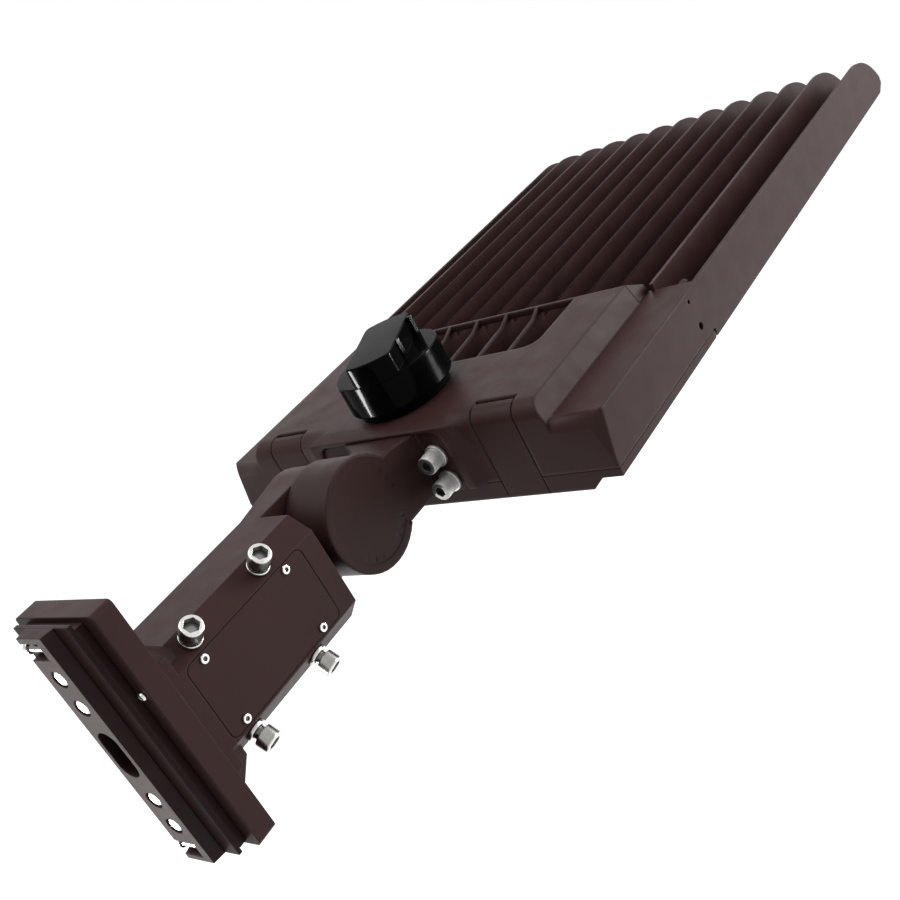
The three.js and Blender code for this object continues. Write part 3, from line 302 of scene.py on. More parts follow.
def steelMaterial(name, look):
    # turned steel with painted shade: the tone attribute is 1 on bright faces and falls towards 0
    # on sides, necks and sockets, which are painted darker for their shade and dark reflections
    mat, tree, shader, where = startMaterial(name)
    tone = tree.nodes.new("ShaderNodeAttribute")
    tone.attribute_name = "tone"
    stain = spread(tree, noise(tree, where, look["stainScale"], 4, 0.6), 0.82, 1.05)
    factor = calc(tree, "MULTIPLY", tone.outputs["Fac"], stain)
    body = blendColor(tree, factor, look["dark"], look["bright"])
    tree.links.new(body, shader.inputs["Base Color"])
    shader.inputs["Metallic"].default_value = 1.0
    lines = noise(tree, where, look["lineScale"], 3, 0.7)
    low, high = look["rough"]
    tree.links.new(spread(tree, lines, low, high), shader.inputs["Roughness"])
    normal = bump(tree, lines, look["lineDepth"], 0.5, roundEdges(tree, look["edgeRadius"]))
    tree.links.new(normal, shader.inputs["Normal"])
    return mat


metalLook = {
    "base": (0.42, 0.43, 0.43),
    "dull": (0.32, 0.33, 0.33),
    "rough": (0.35, 0.5),
    "stainScale": 160,
    "lineScale": 900,
    "lineDepth": 0.00001,
    "edgeRadius": 0.0006,
}


def metalMaterial(name, look, stretch=(1, 1, 1)):
    # drawn metal: fine lines in roughness and bump over soft stains
    mat, tree, shader, where = startMaterial(name)
    stain = noise(tree, where, look["stainScale"], 4, 0.6)
    body = blendColor(tree, spread(tree, stain, 0.0, 1.0), look["dull"], look["base"])
    tree.links.new(body, shader.inputs["Base Color"])
    shader.inputs["Metallic"].default_value = 1.0
    lines = noise(tree, where, look["lineScale"], 3, 0.7, stretch)
    low, high = look["rough"]
    tree.links.new(spread(tree, lines, low, high), shader.inputs["Roughness"])
    normal = bump(tree, lines, look["lineDepth"], 0.5, roundEdges(tree, look["edgeRadius"]))
    tree.links.new(normal, shader.inputs["Normal"])
    return mat


plasticLook = {
    "base": (0.0022, 0.0024, 0.0024),
    "rough": (0.09, 0.14),
    "shadeScale": 30,
    "glossScale": 120,
    "grainScale": 1400,
    "grainDepth": 0.000005,
    "edgeRadius": 0.0006,
    "ior": 1.085,
}


def plasticMaterial(name, look, clear=0.0):
    # moulded plastic: faint cloud in tone and gloss, fine grain
    mat, tree, shader, where = startMaterial(name)
    shade = noise(tree, where, look["shadeScale"], 3, 0.5)
    base = look["base"]
    paler = tuple(min(1, c * 1.25 + 0.0006) for c in base)
    body = blendColor(tree, spread(tree, shade, 0.0, 1.0), base, paler)
    tree.links.new(body, shader.inputs["Base Color"])
    low, high = look["rough"]
    gloss = spread(tree, noise(tree, where, look["glossScale"], 4, 0.6), low, high)
    tree.links.new(gloss, shader.inputs["Roughness"])
    grain = noise(tree, where, look["grainScale"], 2)
    normal = bump(tree, grain, look["grainDepth"], 0.5, roundEdges(tree, look["edgeRadius"]))
    tree.links.new(normal, shader.inputs["Normal"])
    shader.inputs["IOR"].default_value = look["ior"]
    shader.inputs["Transmission Weight"].default_value = clear
    return mat


boardLook = {
    "mask": (0.72, 0.73, 0.71),
    "chip": (0.78, 0.62, 0.12),
    "rough": (0.35, 0.5),
    "weaveScale": 600,
    "weaveDepth": 0.00001,
    "glossScale": 90,
}


def boardMaterial(name, look):
    # white solder mask with faint weave, and yellow phosphor where the tone attribute is 1
    mat, tree, shader, where = startMaterial(name)
    weave = noise(tree, where, look["weaveScale"], 3, 0.6)
    darker = tuple(c * 0.9 for c in look["mask"])
    ground = blendColor(tree, spread(tree, weave, 0.0, 1.0), darker, look["mask"])
    tone = tree.nodes.new("ShaderNodeAttribute")
    tone.attribute_name = "tone"
    body = blendColor(tree, tone.outputs["Fac"], ground, look["chip"])
    tree.links.new(body, shader.inputs["Base Color"])
    low, high = look["rough"]
    gloss = spread(tree, noise(tree, where, look["glossScale"], 3), low, high)
    tree.links.new(gloss, shader.inputs["Roughness"])
    tree.links.new(bump(tree, weave, look["weaveDepth"], 0.5), shader.inputs["Normal"])
    return mat


# painted shade: the foot and its inner steps are painted darker than the rest for the shade among
# them, and only the contact face is pale, which is in part painted light
shadedFootLook = dict(coatLook, base=(0.027, 0.0120, 0.0110), dark=(0.023, 0.0104, 0.0096))
# painted shade: the knuckle bracket is painted darker than the rest for the shade the head casts on
# its disc, and its edges are rounded more softly
shadedSoftLook = dict(
    coatLook, base=(0.033, 0.0155, 0.0143), dark=(0.029, 0.0133, 0.0123), edgeRadius=0.0028)
crispLook = dict(coatLook, edgeRadius=0.0007)
rubberLook = dict(plasticLook, base=(0.02, 0.02, 0.02), rough=(0.7, 0.85), grainDepth=0.00002)
clearLook = dict(plasticLook, base=(0.80, 0.84, 0.85), rough=(0.04, 0.10), ior=1.45)
brassLook = dict(
    metalLook, base=(0.62, 0.44, 0.17), dull=(0.45, 0.31, 0.12), rough=(0.2, 0.34),
    edgeRadius=0.0003)
satinLook = dict(steelLook, bright=(0.84, 0.83, 0.80), rough=(0.46, 0.58))
finishes = {
    "bronze": coatMaterial("bronze_coat", coatLook),
    # the contact plate's faces turned to the pole are pale, which stands for the bare contact face
    # and is in part painted light
    "contact": coatMaterial("contact_face", shadedFootLook, front=(0.27, 0.225, 0.215)),
    "steel": steelMaterial("bright_steel", steelLook),
    "rubber": plasticMaterial("silicone", rubberLook),
    "black": plasticMaterial("black_gloss", plasticLook),
    "board": boardMaterial("white_laminate", boardLook),
    "clear": plasticMaterial("clear_moulding", clearLook, 0.9),
    "driver": metalMaterial("case_aluminium", metalLook, (1, 30, 1)),
    "brass": metalMaterial("brass_blade", brassLook),
}
headCoat = coatMaterial("head_coat", coatLook, headLook)
shadedSoftCoat = coatMaterial("soft_casting_coat", shadedSoftLook, disc=discLook)
crispCoat = coatMaterial("crisp_coat", crispLook)
shadedFootCoat = coatMaterial("foot_coat", shadedFootLook)
# painted shade: the arm's faces turned to the pole are painted darker
armCoat = coatMaterial("arm_coat", coatLook, front=(0.024, 0.0106, 0.0098))
satinSteel = steelMaterial("satin_steel", satinLook)
coatOf = {
    "housing": headCoat,
    "heat_sink": headCoat,
    "knuckle_bracket": shadedSoftCoat,
    "arm_body": armCoat,
    "pole_adaptor": shadedFootCoat,
    "arm_cover": crispCoat,
    "latch_right": crispCoat,
    "latch_left": crispCoat,
}

for name, node in nodes.items():
    node.data.materials.clear()
    node.data.materials.append(coatOf.get(name, finishes[slotOf[name]]))
print("materials laid on the nodes")


# Pieces that stand for CAD nodes
def standFor(piece, nodeName):
    bpy.context.scene.collection.objects.link(piece)
    weigh = piece.modifiers.new("weigh", "WEIGHTED_NORMAL")
    weigh.keep_sharp = True
    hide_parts(nodeName)
    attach(piece, bodyOf[nodeName])


def shadeSmooth(mesh, angle):
    mesh.shade_smooth()
    mesh.set_sharp_from_angle(angle=math.radians(angle))


def newPiece(nodeName, ending, points, faces, finish, angle=None, tone=None):
    # a mesh from points in mm, with a tone for each point where the finish reads one
    mesh = bpy.data.meshes.new(nodeName + ending)
    mesh.from_pydata((points * mm).tolist(), [], faces)
    if tone is not None:
        layer = mesh.attributes.new("tone", "FLOAT", "POINT")
        layer.data.foreach_set("value", np.array(tone, np.float32))
    mesh.materials.append(finish)
    if angle:
        shadeSmooth(mesh, angle)
    standFor(bpy.data.objects.new(nodeName + ending, mesh), nodeName)


weldDistance = 1e-6
flatAngle = math.radians(0.5)
join = {"x": 0.420, "within": 1e-5, "gap": 0.00009}
discFloor = {"radius": 0.03105, "outer": -0.03145, "inner": -0.0304, "level": -0.03120}
# points of the arm's far top edge, in mm
earPoints = {
    "corner": (153.6, 32.3, 34.3),
    "low": (153.6, 32.3, 22.3),
    "end": (197.5, 32.3, 34.3),
    "chamfer": (153.6, 20.3, 34.3),
}


def closeJoin(bm):
    # the face that meets the fin casting is carried over the working gap between the two
    for vert in bm.verts:
        if abs(vert.co.x - join["x"]) < join["within"]:
            vert.co.x += join["gap"]


def mergeFlats(bm):
    # doubles become one, and triangles that lie flat together become one face
    bmesh.ops.remove_doubles(bm, verts=bm.verts, dist=weldDistance)
    bmesh.ops.dissolve_limit(bm, angle_limit=flatAngle, verts=bm.verts, edges=bm.edges)


def calmDisc(bm):
    # the disc's dish and its marks are brought to one shallow floor
    for vert in bm.verts:
        away = math.hypot(vert.co.x - discLook["middle"][0], vert.co.z)
        onDish = discFloor["outer"] < vert.co.y < discFloor["inner"]
        if onDish and away < discFloor["radius"]:
            vert.co.y = discFloor["level"]
    mergeFlats(bm)


def chamferEar(bm):
    # the arm's far top chamfer is carried on along the ear and runs out at its round end, so
    # that the outline is straight up to the head
    def near(name):
        spot = Vector(earPoints[name]) * mm
        return min(bm.verts, key=lambda vert: (vert.co - spot).length)

    corner, low, end, chamfer = [near(name) for name in earPoints]
    bmesh.ops.connect_vert_pair(bm, verts=[low, end])
    corner.co = chamfer.co
    bmesh.ops.remove_doubles(bm, verts=bm.verts, dist=weldDistance)


reshape = {"housing": closeJoin, "knuckle_bracket": calmDisc, "arm_body": chamferEar}


def dressCopy(nodeName, angle):
    # the CAD solid with its doubles merged, flat faces joined and rounds shaded smooth
    mesh = nodes[nodeName].data.copy()
    bm = bmesh.new()
    bm.from_mesh(mesh)
    mergeFlats(bm)
    if nodeName in reshape:
        reshape[nodeName](bm)
    bm.to_mesh(mesh)
    bm.free()
    mesh.name = nodeName + "_dressed"
    shadeSmooth(mesh, angle)
    standFor(bpy.data.objects.new(nodeName + "_dressed", mesh), nodeName)


# angle in degrees from which an edge stays sharp
roundNodes = {
    "housing": 24,
    "heat_sink": 24,
    "arm_body": 24,
    "knuckle_bracket": 30,
    "driver_door": 24,
    "door_edge_right": 24,
    "door_edge_middle": 24,
    "door_edge_left": 24,
    "latch_right": 24,
    "latch_left": 24,
    "photocell_receptacle": 20,
    "arm_cover": 24,
    "pole_contact_plate": 24,
}
for name, angle in roundNodes.items():
    dressCopy(name, angle)
print("castings and mouldings dressed:", len(roundNodes))


# Turned pieces. A row is (radius, height, tone) in mm, where tone is painted shade on the steel, 1
# for bright faces and lower for faces painted darker for shade and dark reflections, and a fourth
# value of 1 makes it a hexagon whose radius is half the width across the flats.
turnedSides = 48
turnedSharp = 38
satinPieces = ("bracket_bolt", "plate_screw")


def ringSurface(radius, height, loop=False):
    # one ring of points per row, at radius[row, side] and height[row]; rings are joined in order,
    # and closed by a fan at both ends, or back to the first ring where the piece is a loop
    count, sides = radius.shape
    angle = np.arange(sides) * 2 * np.pi / sides
    level = np.repeat(np.array(height, float)[:, None], sides, axis=1)
    points = np.stack([radius * np.cos(angle), radius * np.sin(angle), level], axis=2)
    points = points.reshape(-1, 3)
    low = np.arange(count if loop else count - 1)[:, None] * sides
    high = (low + sides) % (count * sides)
    here = np.arange(sides)[None, :]
    after = (here + 1) % sides
    faces = np.stack([low + here, low + after, high + after, high + here], axis=2)
    faces = faces.reshape(-1, 4).tolist()
    if not loop:
        bottom, top = len(points), len(points) + 1
        points = np.vstack([points, [[0, 0, height[0]], [0, 0, height[-1]]]])
        last = (count - 1) * sides
        ring, nextRing = here[0], after[0]
        faces += np.stack([nextRing, ring, np.full(sides, bottom)], axis=1).tolist()
        faces += np.stack([last + ring, last + nextRing, np.full(sides, top)], axis=1).tolist()
    return points, faces


def turnedPiece(nodeName, rows, place, out, loop=False):
    # ring radius = row radius, over cos(angle from the middle of the nearest flat) where the row
    # is a hexagon; the piece is set at a place in mm, with its own height along out
    angle = np.arange(turnedSides) * 2 * np.pi / turnedSides
    flat = np.mod(angle + np.pi / 6, np.pi / 3) - np.pi / 6
    table = np.array([row[:3] for row in rows], float)
    hexagon = np.array([row[3] if len(row) > 3 else 0 for row in rows], float)[:, None]
    radius = table[:, :1] * (1 + hexagon * (1 / np.cos(flat)[None, :] - 1))
    points, faces = ringSurface(radius, table[:, 1], loop)
    tone = np.repeat(table[:, 2], turnedSides)
    if not loop:
        tone = np.append(tone, [table[0, 2], table[-1, 2]])
    ahead = np.array(out, float) / np.linalg.norm(out)
    start = np.array([0.0, 0, 1]) if abs(ahead[2]) < 0.9 else np.array([1.0, 0, 0])
    across = np.cross(start, ahead)
    across /= np.linalg.norm(across)
    points = points @ np.array([across, np.cross(ahead, across), ahead]) + np.array(place)
    satin = nodeName.startswith(satinPieces)
    finish = satinSteel if satin else finishes[slotOf[nodeName]]
    newPiece(nodeName, "_turned", points, faces, finish, turnedSharp, tone)


plateScrew = {
    "face": 3.4, "places": (52.5, 33.0, -33.0, -52.5),
    "rows": [
        (3.0, -20, .1), (3.0, -.2, .1), (5.2, 0, .05), (5.3, .3, .05), (5.3, 2.0, .10),
        (4.5, 2.3, .22), (4.1, 2.7, .45), (3.7, 2.95, .62), (2.0, 3.0, .62),
    ],
}
endScrew = {
    "x": 3.8, "y": 11.5, "places": (("end_screw_top", 70.5), ("end_screw_bottom", -70.5)),
    "rows": [
        (2.4, -16, .2), (2.4, 0, .2), (3.3, 0, .5), (3.5, .3, .7), (3.5, 2.4, .8),
        (3.2, 3.3, 1), (2.4, 3.85, 1), (1.7, 4.0, 1), (1.3, 3.9, .4, 1), (1.1, 3.0, .1, 1),
    ],
}
coverScrew = {
    "y": -32.3, "x": (52.6, 123.8), "z": (17.9, -24.7),
    "rows": [
        (1.5, -5.6, .1), (1.5, 0, .1), (2.6, 0, .3), (2.8, .25, .6), (2.8, .8, .8),
        (2.5, 1.3, 1), (1.9, 1.4, 1), (1.35, 1.35, .8, 1), (1.2, 1.1, .1, 1),
        (1.15, .5, .02, 1),
    ],
}
clampScrew = {
    "x": (56, 114), "top": (-29.98, 31.97), "bottom": (-29.98, -39.88),
    "ringTop": (-26.51, 28.51), "ringBottom": (-26.51, -36.41),
    "rows": [
        (4.0, -18.2, .1), (4.0, -.2, .1), (5.9, 0, .1), (6.55, .3, .3), (6.7, 1.0, .42),
        (6.7, 7.3, .42), (6.55, 8.05, .85), (6.1, 8.5, 1), (5.5, 8.6, 1), (4.2, 8.6, 1, 1),
        (3.98, 8.25, .5, 1), (3.9, 4.2, .04, 1), (2.0, 4.1, .3),
    ],
    "ring": [
        (4.3, 0, .1), (6.5, 0, .2), (6.8, .3, .5), (6.8, 1.6, .8), (6.45, 2.15, 1),
        (4.9, 2.2, 1), (4.3, 1.7, .2),
    ],
}
flangeScrew = {
    "place": (15.5, -30.9, 28.2),
    "rows": [
        (1.6, -8, .1), (1.6, 0, .1), (2.4, 0, .5), (2.6, .3, .8), (2.6, 1.0, .9), (2.2, 1.7, 1),
        (1.4, 2.0, 1), (1.0, 1.9, .5, 1), (.9, 1.2, .1, 1),
    ],
}
bracketBolt = {
    "x": 258.9, "y": (-43, 43), "z": (-1.5, -21),
    "rows": [
        (4, -17, .2), (4, 0, .2), (7.6, 0, .3), (8, .4, .4), (8, 1.9, .45), (7.6, 2.5, .5),
        (6.7, 2.65, .2), (6.5, 3.0, .8), (6.5, 12.4, 1), (6.2, 13.3, .4), (5.5, 13.6, .10),
        (3.3, 13.6, .07, 1), (3.12, 13.2, .04, 1), (3.1, 9.6, .02, 1),
    ],
}
knuckleBolt = {
    "place": (197.5, 34.6, 0), "washer": (197.5, 32.4, 0),
    "rows": [
        (6, -56.6, .2), (6, 0, .2), (8.7, 0, .4), (9.35, .5, .6), (9.5, 1.2, .7),
        (9.5, 8.6, .7), (9.2, 9.5, .9), (8.5, 10, 1), (5.0, 10, 1, 1), (4.8, 9.6, .4, 1),
        (4.76, 4.0, .05, 1),
    ],
    "ring": [
        (6.3, 0, .2), (12.2, 0, .4), (12.5, .3, .6), (12.5, 1.8, .7), (12.1, 2.2, 1),
        (6.8, 2.2, 1), (6.3, 1.7, .2),
    ],
}
frameScrew = {
    "x": (436.5, 636, 835.5), "y": (-145.5, 145.5), "z": -32.2,
    "rows": [
        (1.9, -7, .2), (1.9, 0, .2), (3.2, 0, .5), (3.4, .3, .7), (3.4, .9, .8), (2.9, 1.6, 1),
        (2.0, 2.0, 1), (1.5, 1.95, .6, 1), (1.35, 1.1, .1, 1),
    ],
}
hingePin = {
    "x": 416.2, "z": -31.6, "starts": (("hinge_pin_right", -131), ("hinge_pin_left", 105)),
    "rows": [
        (1.2, 0, .8), (1.5, .3, .8), (1.5, 13, .8), (1.5, 25.7, .8), (1.2, 26, .8),
    ],
}


def makeTurned():
    toPole, near, far, down = (-1, 0, 0), (0, -1, 0), (0, 1, 0), (0, 0, -1)
    for i, z in enumerate(plateScrew["places"], 1):
        turnedPiece(f"plate_screw_{i}", plateScrew["rows"], (plateScrew["face"], 0, z), toPole)
    for name, z in endScrew["places"]:
        turnedPiece(name, endScrew["rows"], (endScrew["x"], endScrew["y"], z), far)
    for i, (z, x) in enumerate(product(coverScrew["z"], coverScrew["x"]), 1):
        place = (x, coverScrew["y"], z)
        turnedPiece(f"arm_cover_screw_{i}", coverScrew["rows"], place, near)
    sides = (("top", "ringTop", 1), ("bottom", "ringBottom", -1))
    for i, ((spot, ring, side), x) in enumerate(product(sides, clampScrew["x"]), 1):
        out = (0, -1, side)
        turnedPiece(f"clamp_screw_{i}", clampScrew["rows"], (x, *clampScrew[spot]), out)
        turnedPiece(f"clamp_ring_{i}", clampScrew["ring"], (x, *clampScrew[ring]), out, True)
    turnedPiece("flange_screw", flangeScrew["rows"], flangeScrew["place"], toPole)
    for i, (y, z) in enumerate(product(bracketBolt["y"], bracketBolt["z"]), 1):
        turnedPiece(f"bracket_bolt_{i}", bracketBolt["rows"], (bracketBolt["x"], y, z), toPole)
    turnedPiece("knuckle_bolt", knuckleBolt["rows"], knuckleBolt["place"], far)
    turnedPiece("knuckle_washer", knuckleBolt["ring"], knuckleBolt["washer"], far, True)
    for i, (x, y) in enumerate(product(frameScrew["x"], frameScrew["y"]), 1):
        turnedPiece(f"frame_screw_{i}", frameScrew["rows"], (x, y, frameScrew["z"]), down)
    for name, y in hingePin["starts"]:
        turnedPiece(name, hingePin["rows"], (hingePin["x"], y, hingePin["z"]), far)


makeTurned()
print("screws, bolts, rings and pins turned")


# Twist-lock cap: a round skirt, a bar with round ends across it, and two upright ribs on the
# bar's near side, each as x, x, y, y
cap = {
    "middle": (302.0, 0.0), "turn": 24.0, "sides": 120, "sharp": 34,
    "skirt": [
        (36.6, 28.6), (37.3, 28.9), (37.5, 29.5), (37.5, 29.8), (37.5, 50.7), (37.5, 51.0),
        (37.3, 51.4), (36.9, 51.6),
    ],
    "bar": [
        (0.0, 50.0), (0.0, 50.3), (0.0, 64.4), (0.0, 64.7), (0.25, 65.3), (0.8, 65.6),
    ],
    "barEnd": 37.5, "barHalf": 16.8, "barShift": 0.8, "round": 26.0,
    "ribs": ((295.6, 299.2, -22.9, -4.0), (330.0, 333.4, -9.6, 2.0)),
    "ribTop": 65.3, "ribFoot": 50.0,
}


def boxShell(x0, x1, y0, y1, z0, z1):
    # eight corners and six outward faces, in mm
    points = np.array([(x, y, z) for x in (x0, x1) for y in (y0, y1) for z in (z0, z1)], float)
    faces = [[0, 1, 3, 2], [4, 6, 7, 5], [0, 4, 5, 1], [2, 3, 7, 6], [0, 2, 6, 4], [1, 5, 7, 3]]
    return points, faces


def joinShells(shells):
    points, faces, count = [], [], 0
    for corners, sides in shells:
        faces += [[count + v for v in side] for side in sides]
        points.append(corners)
        count += len(corners)
    return np.vstack(points), faces


def makeCap():
    # bar outline: 1 / r^n = 1 / end^n + (|sin a| / half)^n, a soft corner between the round end
    # and the side
    sides = cap["sides"]
    skirt = np.array(cap["skirt"])
    shells = [ringSurface(np.repeat(skirt[:, :1], sides, axis=1), skirt[:, 1])]
    angle = np.arange(sides) * 2 * np.pi / sides
    n = cap["round"]
    outline = (cap["barEnd"] ** -n + (np.abs(np.sin(angle)) / cap["barHalf"]) ** n) ** (-1 / n)
    bar = np.array(cap["bar"])
    points, faces = ringSurface(outline[None, :] - bar[:, :1], bar[:, 1])
    turn = math.radians(cap["turn"])
    u, v = points[:, 0].copy(), points[:, 1] - cap["barShift"]
    points[:, 0] = u * math.cos(turn) - v * math.sin(turn)
    points[:, 1] = u * math.sin(turn) + v * math.cos(turn)
    shells.append((points, faces))
    points, faces = joinShells(shells)
    points[:, :2] += cap["middle"]
    ribs = [boxShell(*rib, cap["ribFoot"], cap["ribTop"]) for rib in cap["ribs"]]
    points, faces = joinShells([(points, faces), *ribs])
    newPiece("twist_lock_cap", "_moulded", points, faces, finishes["black"], cap["sharp"])


makeCap()
print("cap moulded")


# Lens panel and board, which share the places of the light sources
lights = {"middle": (636.0, 0.0), "rows": 8, "columns": 6, "pitch": (45.0, 43.0)}
lensPanel = {
    "x": (442.5, 829.5), "y": (-139.5, 139.5), "top": -24.4, "under": -25.7, "low": -29.3,
    "radius": 15.0, "power": 1.2, "dimple": 0.28, "dimpleRadius": 4.0, "step": 2.0, "sharp": 40,
}
board = {
    "x": (444.0, 828.0), "y": (-138.0, 138.0), "top": -22.0, "under": -23.6,
    # half width, depth and tone of the copper pad and of the light source on it
    "layers": ((5.0, 0.06, 0.25), (2.6, 0.6, 1.0)),
}


def lightPlaces():
    i, j = np.meshgrid(np.arange(lights["rows"]), np.arange(lights["columns"]), indexing="ij")
    middle, pitch = lights["middle"], lights["pitch"]
    x = middle[0] + (i.ravel() - (lights["rows"] - 1) / 2) * pitch[0]
    y = middle[1] + (j.ravel() - (lights["columns"] - 1) / 2) * pitch[1]
    return np.stack([x, y], axis=1)


def evenSteps(span, step):
    # equal steps over a span, both ends included
    return np.linspace(*span, int(round((span[1] - span[0]) / step)) + 1)


def makeLensPanel():
    # under face z = under - (under - low) * swell, where r is the distance from the nearest light
    # and swell = cos(pi r / 2 radius)^power - dimple * exp(-(r / dimpleRadius)^2)
    look = lensPanel
    xs, ys = evenSteps(look["x"], look["step"]), evenSteps(look["y"], look["step"])
    gx, gy = np.meshgrid(xs, ys, indexing="ij")
    far = np.full(gx.shape, 1e9)
    for x, y in lightPlaces():
        far = np.minimum(far, np.hypot(gx - x, gy - y))
    share = np.clip(far / look["radius"], 0, 1)
    dimple = look["dimple"] * np.exp(-(far / look["dimpleRadius"]) ** 2)
    swell = np.cos(share * np.pi / 2) ** look["power"] - dimple
    low = look["under"] - (look["under"] - look["low"]) * swell
    nx, ny = gx.shape
    under = np.stack([gx, gy, low], axis=2).reshape(-1, 3)
    corners = np.array([(x, y, look["top"]) for x in look["x"] for y in look["y"]])
    index = np.arange(nx * ny).reshape(nx, ny)
    quads = np.stack([index[:-1, :-1], index[:-1, 1:], index[1:, 1:], index[1:, :-1]], axis=2)
    base = nx * ny
    faces = quads.reshape(-1, 4).tolist()
    faces.append([base, base + 2, base + 3, base + 1])
    faces.append(index[:, 0].tolist() + [base + 2, base])
    faces.append(index[::-1, -1].tolist() + [base + 1, base + 3])
    faces.append(index[0, ::-1].tolist() + [base, base + 1])
    faces.append(index[-1, :].tolist() + [base + 3, base + 2])
    points = np.vstack([under, corners])
    newPiece("lens_panel", "_domed", points, faces, finishes["clear"], look["sharp"])


def makeBoard():
    # the laminate, a raised copper pad under each light, and the light source itself
    shells = [boxShell(*board["x"], *board["y"], board["under"], board["top"])]
    tones = [0.0] * 8
    under = board["under"]
    for x, y in lightPlaces():
        for half, depth, tone in board["layers"]:
            sides = (x - half, x + half, y - half, y + half)
            shells.append(boxShell(*sides, under - depth, under))
            tones += [tone] * 8
    points, faces = joinShells(shells)
    newPiece("led_board", "_fitted", points, faces, finishes["board"], tone=tones)


makeLensPanel()
makeBoard()
print("lens panel and board fitted")


# Stage
stageLook = {
    "floorZ": -0.72,
    "reach": 14.0,
    "floorTone": 0.80,
    "floorGlow": 0.80,
    "worldLight": 0.25,
}


def whiteOnCamera(tree):
    # 1 for camera, glossy and transmission rays, which meet the brighter shader, 0 for the rest
    path = tree.nodes.new("ShaderNodeLightPath")
    seen = calc(tree, "MAXIMUM", path.outputs["Is Camera Ray"], path.outputs["Is Glossy Ray"])
    return calc(tree, "MAXIMUM", seen, path.outputs["Is Transmission Ray"])


def mixShaders(tree, factor, first, second):
    mix = tree.nodes.new("ShaderNodeMixShader")
    tree.links.new(factor, mix.inputs[0])
    tree.links.new(first.outputs[0], mix.inputs[1])
    tree.links.new(second.outputs[0], mix.inputs[2])
    return mix


def makeWorld(look):
    world = bpy.data.worlds.new("studio")
    bpy.context.scene.world = world
    world.use_nodes = True
    tree = world.node_tree
    tree.nodes.clear()
    out = tree.nodes.new("ShaderNodeOutputWorld")
    soft = tree.nodes.new("ShaderNodeBackground")
    soft.inputs["Color"].default_value = (1, 1, 1, 1)
    soft.inputs["Strength"].default_value = look["worldLight"]
    white = tree.nodes.new("ShaderNodeBackground")
    white.inputs["Color"].default_value = (1, 1, 1, 1)
    white.inputs["Strength"].default_value = 1.0
    mix = mixShaders(tree, whiteOnCamera(tree), soft, white)
    tree.links.new(mix.outputs[0], out.inputs["Surface"])


def makeFloor(look):
    mat = bpy.data.materials.new("pale_floor")
    mat.use_nodes = True
    tree = mat.node_tree
    tree.nodes.clear()
    out = tree.nodes.new("ShaderNodeOutputMaterial")
    matte = tree.nodes.new("ShaderNodeBsdfDiffuse")
    tone = look["floorTone"]
    matte.inputs["Color"].default_value = (tone, tone, tone, 1)
    glow = tree.nodes.new("ShaderNodeEmission")
    glow.inputs["Strength"].default_value = look["floorGlow"]
    both = tree.nodes.new("ShaderNodeAddShader")
    tree.links.new(matte.outputs[0], both.inputs[0])
    tree.links.new(glow.outputs[0], both.inputs[1])
    above = mixShaders(tree, whiteOnCamera(tree), matte, both)
    # seen from below the floor is clear, so the underside can be looked at
    clear = tree.nodes.new("ShaderNodeBsdfTransparent")
    behind = tree.nodes.new("ShaderNodeNewGeometry").outputs["Backfacing"]
    sheet = mixShaders(tree, behind, above, clear)
    tree.links.new(sheet.outputs[0], out.inputs["Surface"])
    r, z = look["reach"], look["floorZ"]
    mesh = bpy.data.meshes.new("floor")
    mesh.from_pydata([(-r, -r, z), (r, -r, z), (r, r, z), (-r, r, z)], [], [(0, 1, 2, 3)])
    mesh.materials.append(mat)
    floor = bpy.data.objects.new("floor", mesh)
    bpy.context.scene.collection.objects.link(floor)


# place, target, size and power of each lamp
lamps = {
    "key_right": ((1.7, -1.3, 0.5), (0.5, 0.0, 0.0), (1.4, 1.4), 34),
    "top_soft": ((-0.3, 0.5, 1.9), (0.4, 0.0, 0.0), (1.6, 1.6), 25),
}
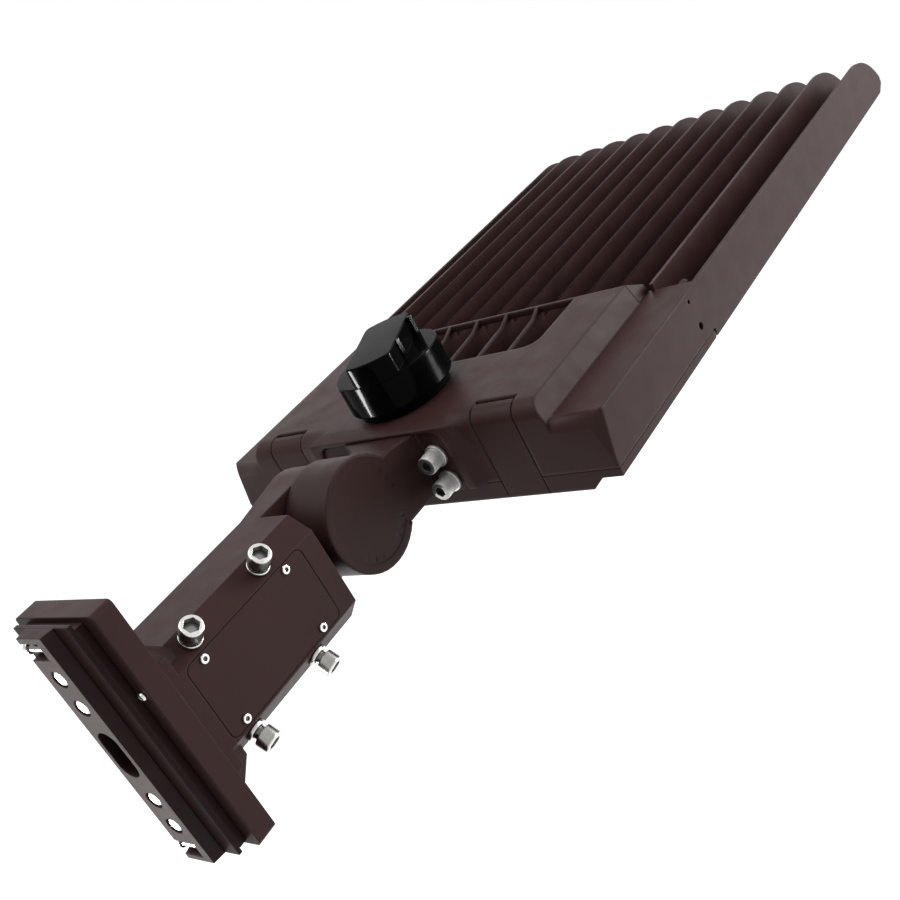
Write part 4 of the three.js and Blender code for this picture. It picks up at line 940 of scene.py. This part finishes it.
# narrow highlight strips, which show in gloss alone: two for the steel, shaded by the castings,
# and two for the cap, shaded only by itself
leftAim = ((-0.446, 0.638, -0.22), (0.265, 0.0, 0.047))
rightAim = ((0.96, -0.72, -0.22), (0.30, -0.037, 0.047))
steelStrips = {
    "strip_left": (*leftAim, (0.085, 0.36), 22.0),
    "strip_right": (*rightAim, (0.085, 0.36), 22.0),
}
capStrips = {
    "cap_strip_left": (*leftAim, (0.16, 0.36), 36.0),
    "cap_strip_right": (*rightAim, (0.13, 0.42), 56.0),
}


def areaLamp(name, place, target, size, power):
    data = bpy.data.lights.new(name, "AREA")
    data.shape = "RECTANGLE"
    data.size, data.size_y = size
    data.energy = power
    lamp = bpy.data.objects.new(name, data)
    lamp.location = place
    aim = Vector(target) - Vector(place)
    lamp.rotation_euler = aim.to_track_quat("-Z", "Y").to_euler()
    bpy.context.scene.collection.objects.link(lamp)
    return lamp


def gather(name, ending):
    group = bpy.data.collections.new(name)
    for piece in bpy.context.scene.collection.objects:
        if piece.name.endswith(ending):
            group.objects.link(piece)
    return group


def makeStrips(strips, receivers, blockers=None):
    for name, values in strips.items():
        lamp = areaLamp(name, *values)
        lamp.visible_camera = False
        lamp.visible_diffuse = False
        lamp.light_linking.receiver_collection = receivers
        lamp.light_linking.blocker_collection = blockers


makeWorld(stageLook)
makeFloor(stageLook)
for name, values in lamps.items():
    areaLamp(name, *values)
turned = gather("turned_pieces", "_turned")
moulded = gather("moulded_cap", "_moulded")
makeStrips(steelStrips, turned)
makeStrips(capStrips, moulded, moulded)


cameraLook = {
    "place": (-207.892, -528.975, 273.701),
    "right": (0.49461267, -0.74511609, -0.44739279),
    "down": (-0.57777036, 0.1026545, -0.80971814),
    "ahead": (0.6492609, 0.65898715, -0.37973177),
    "focalPixels": 1152.2274,
    "imagePixels": 900,
    "sensor": 36.0,
}


def makeCamera(look):
    data = bpy.data.cameras.new("camera")
    data.sensor_width = look["sensor"]
    data.lens = look["focalPixels"] * look["sensor"] / look["imagePixels"]
    data.clip_start, data.clip_end = 0.01, 100.0
    camera = bpy.data.objects.new("camera", data)
    right, down, ahead = (Vector(look[k]) for k in ("right", "down", "ahead"))
    turn = Matrix((right, -down, -ahead)).transposed().to_4x4()
    camera.matrix_world = Matrix.Translation(Vector(look["place"]) * mm) @ turn
    bpy.context.scene.collection.objects.link(camera)
    bpy.context.scene.camera = camera


makeCamera(cameraLook)
bpy.context.scene.view_settings.view_transform = "Standard"
print("stage, lamps and camera set")
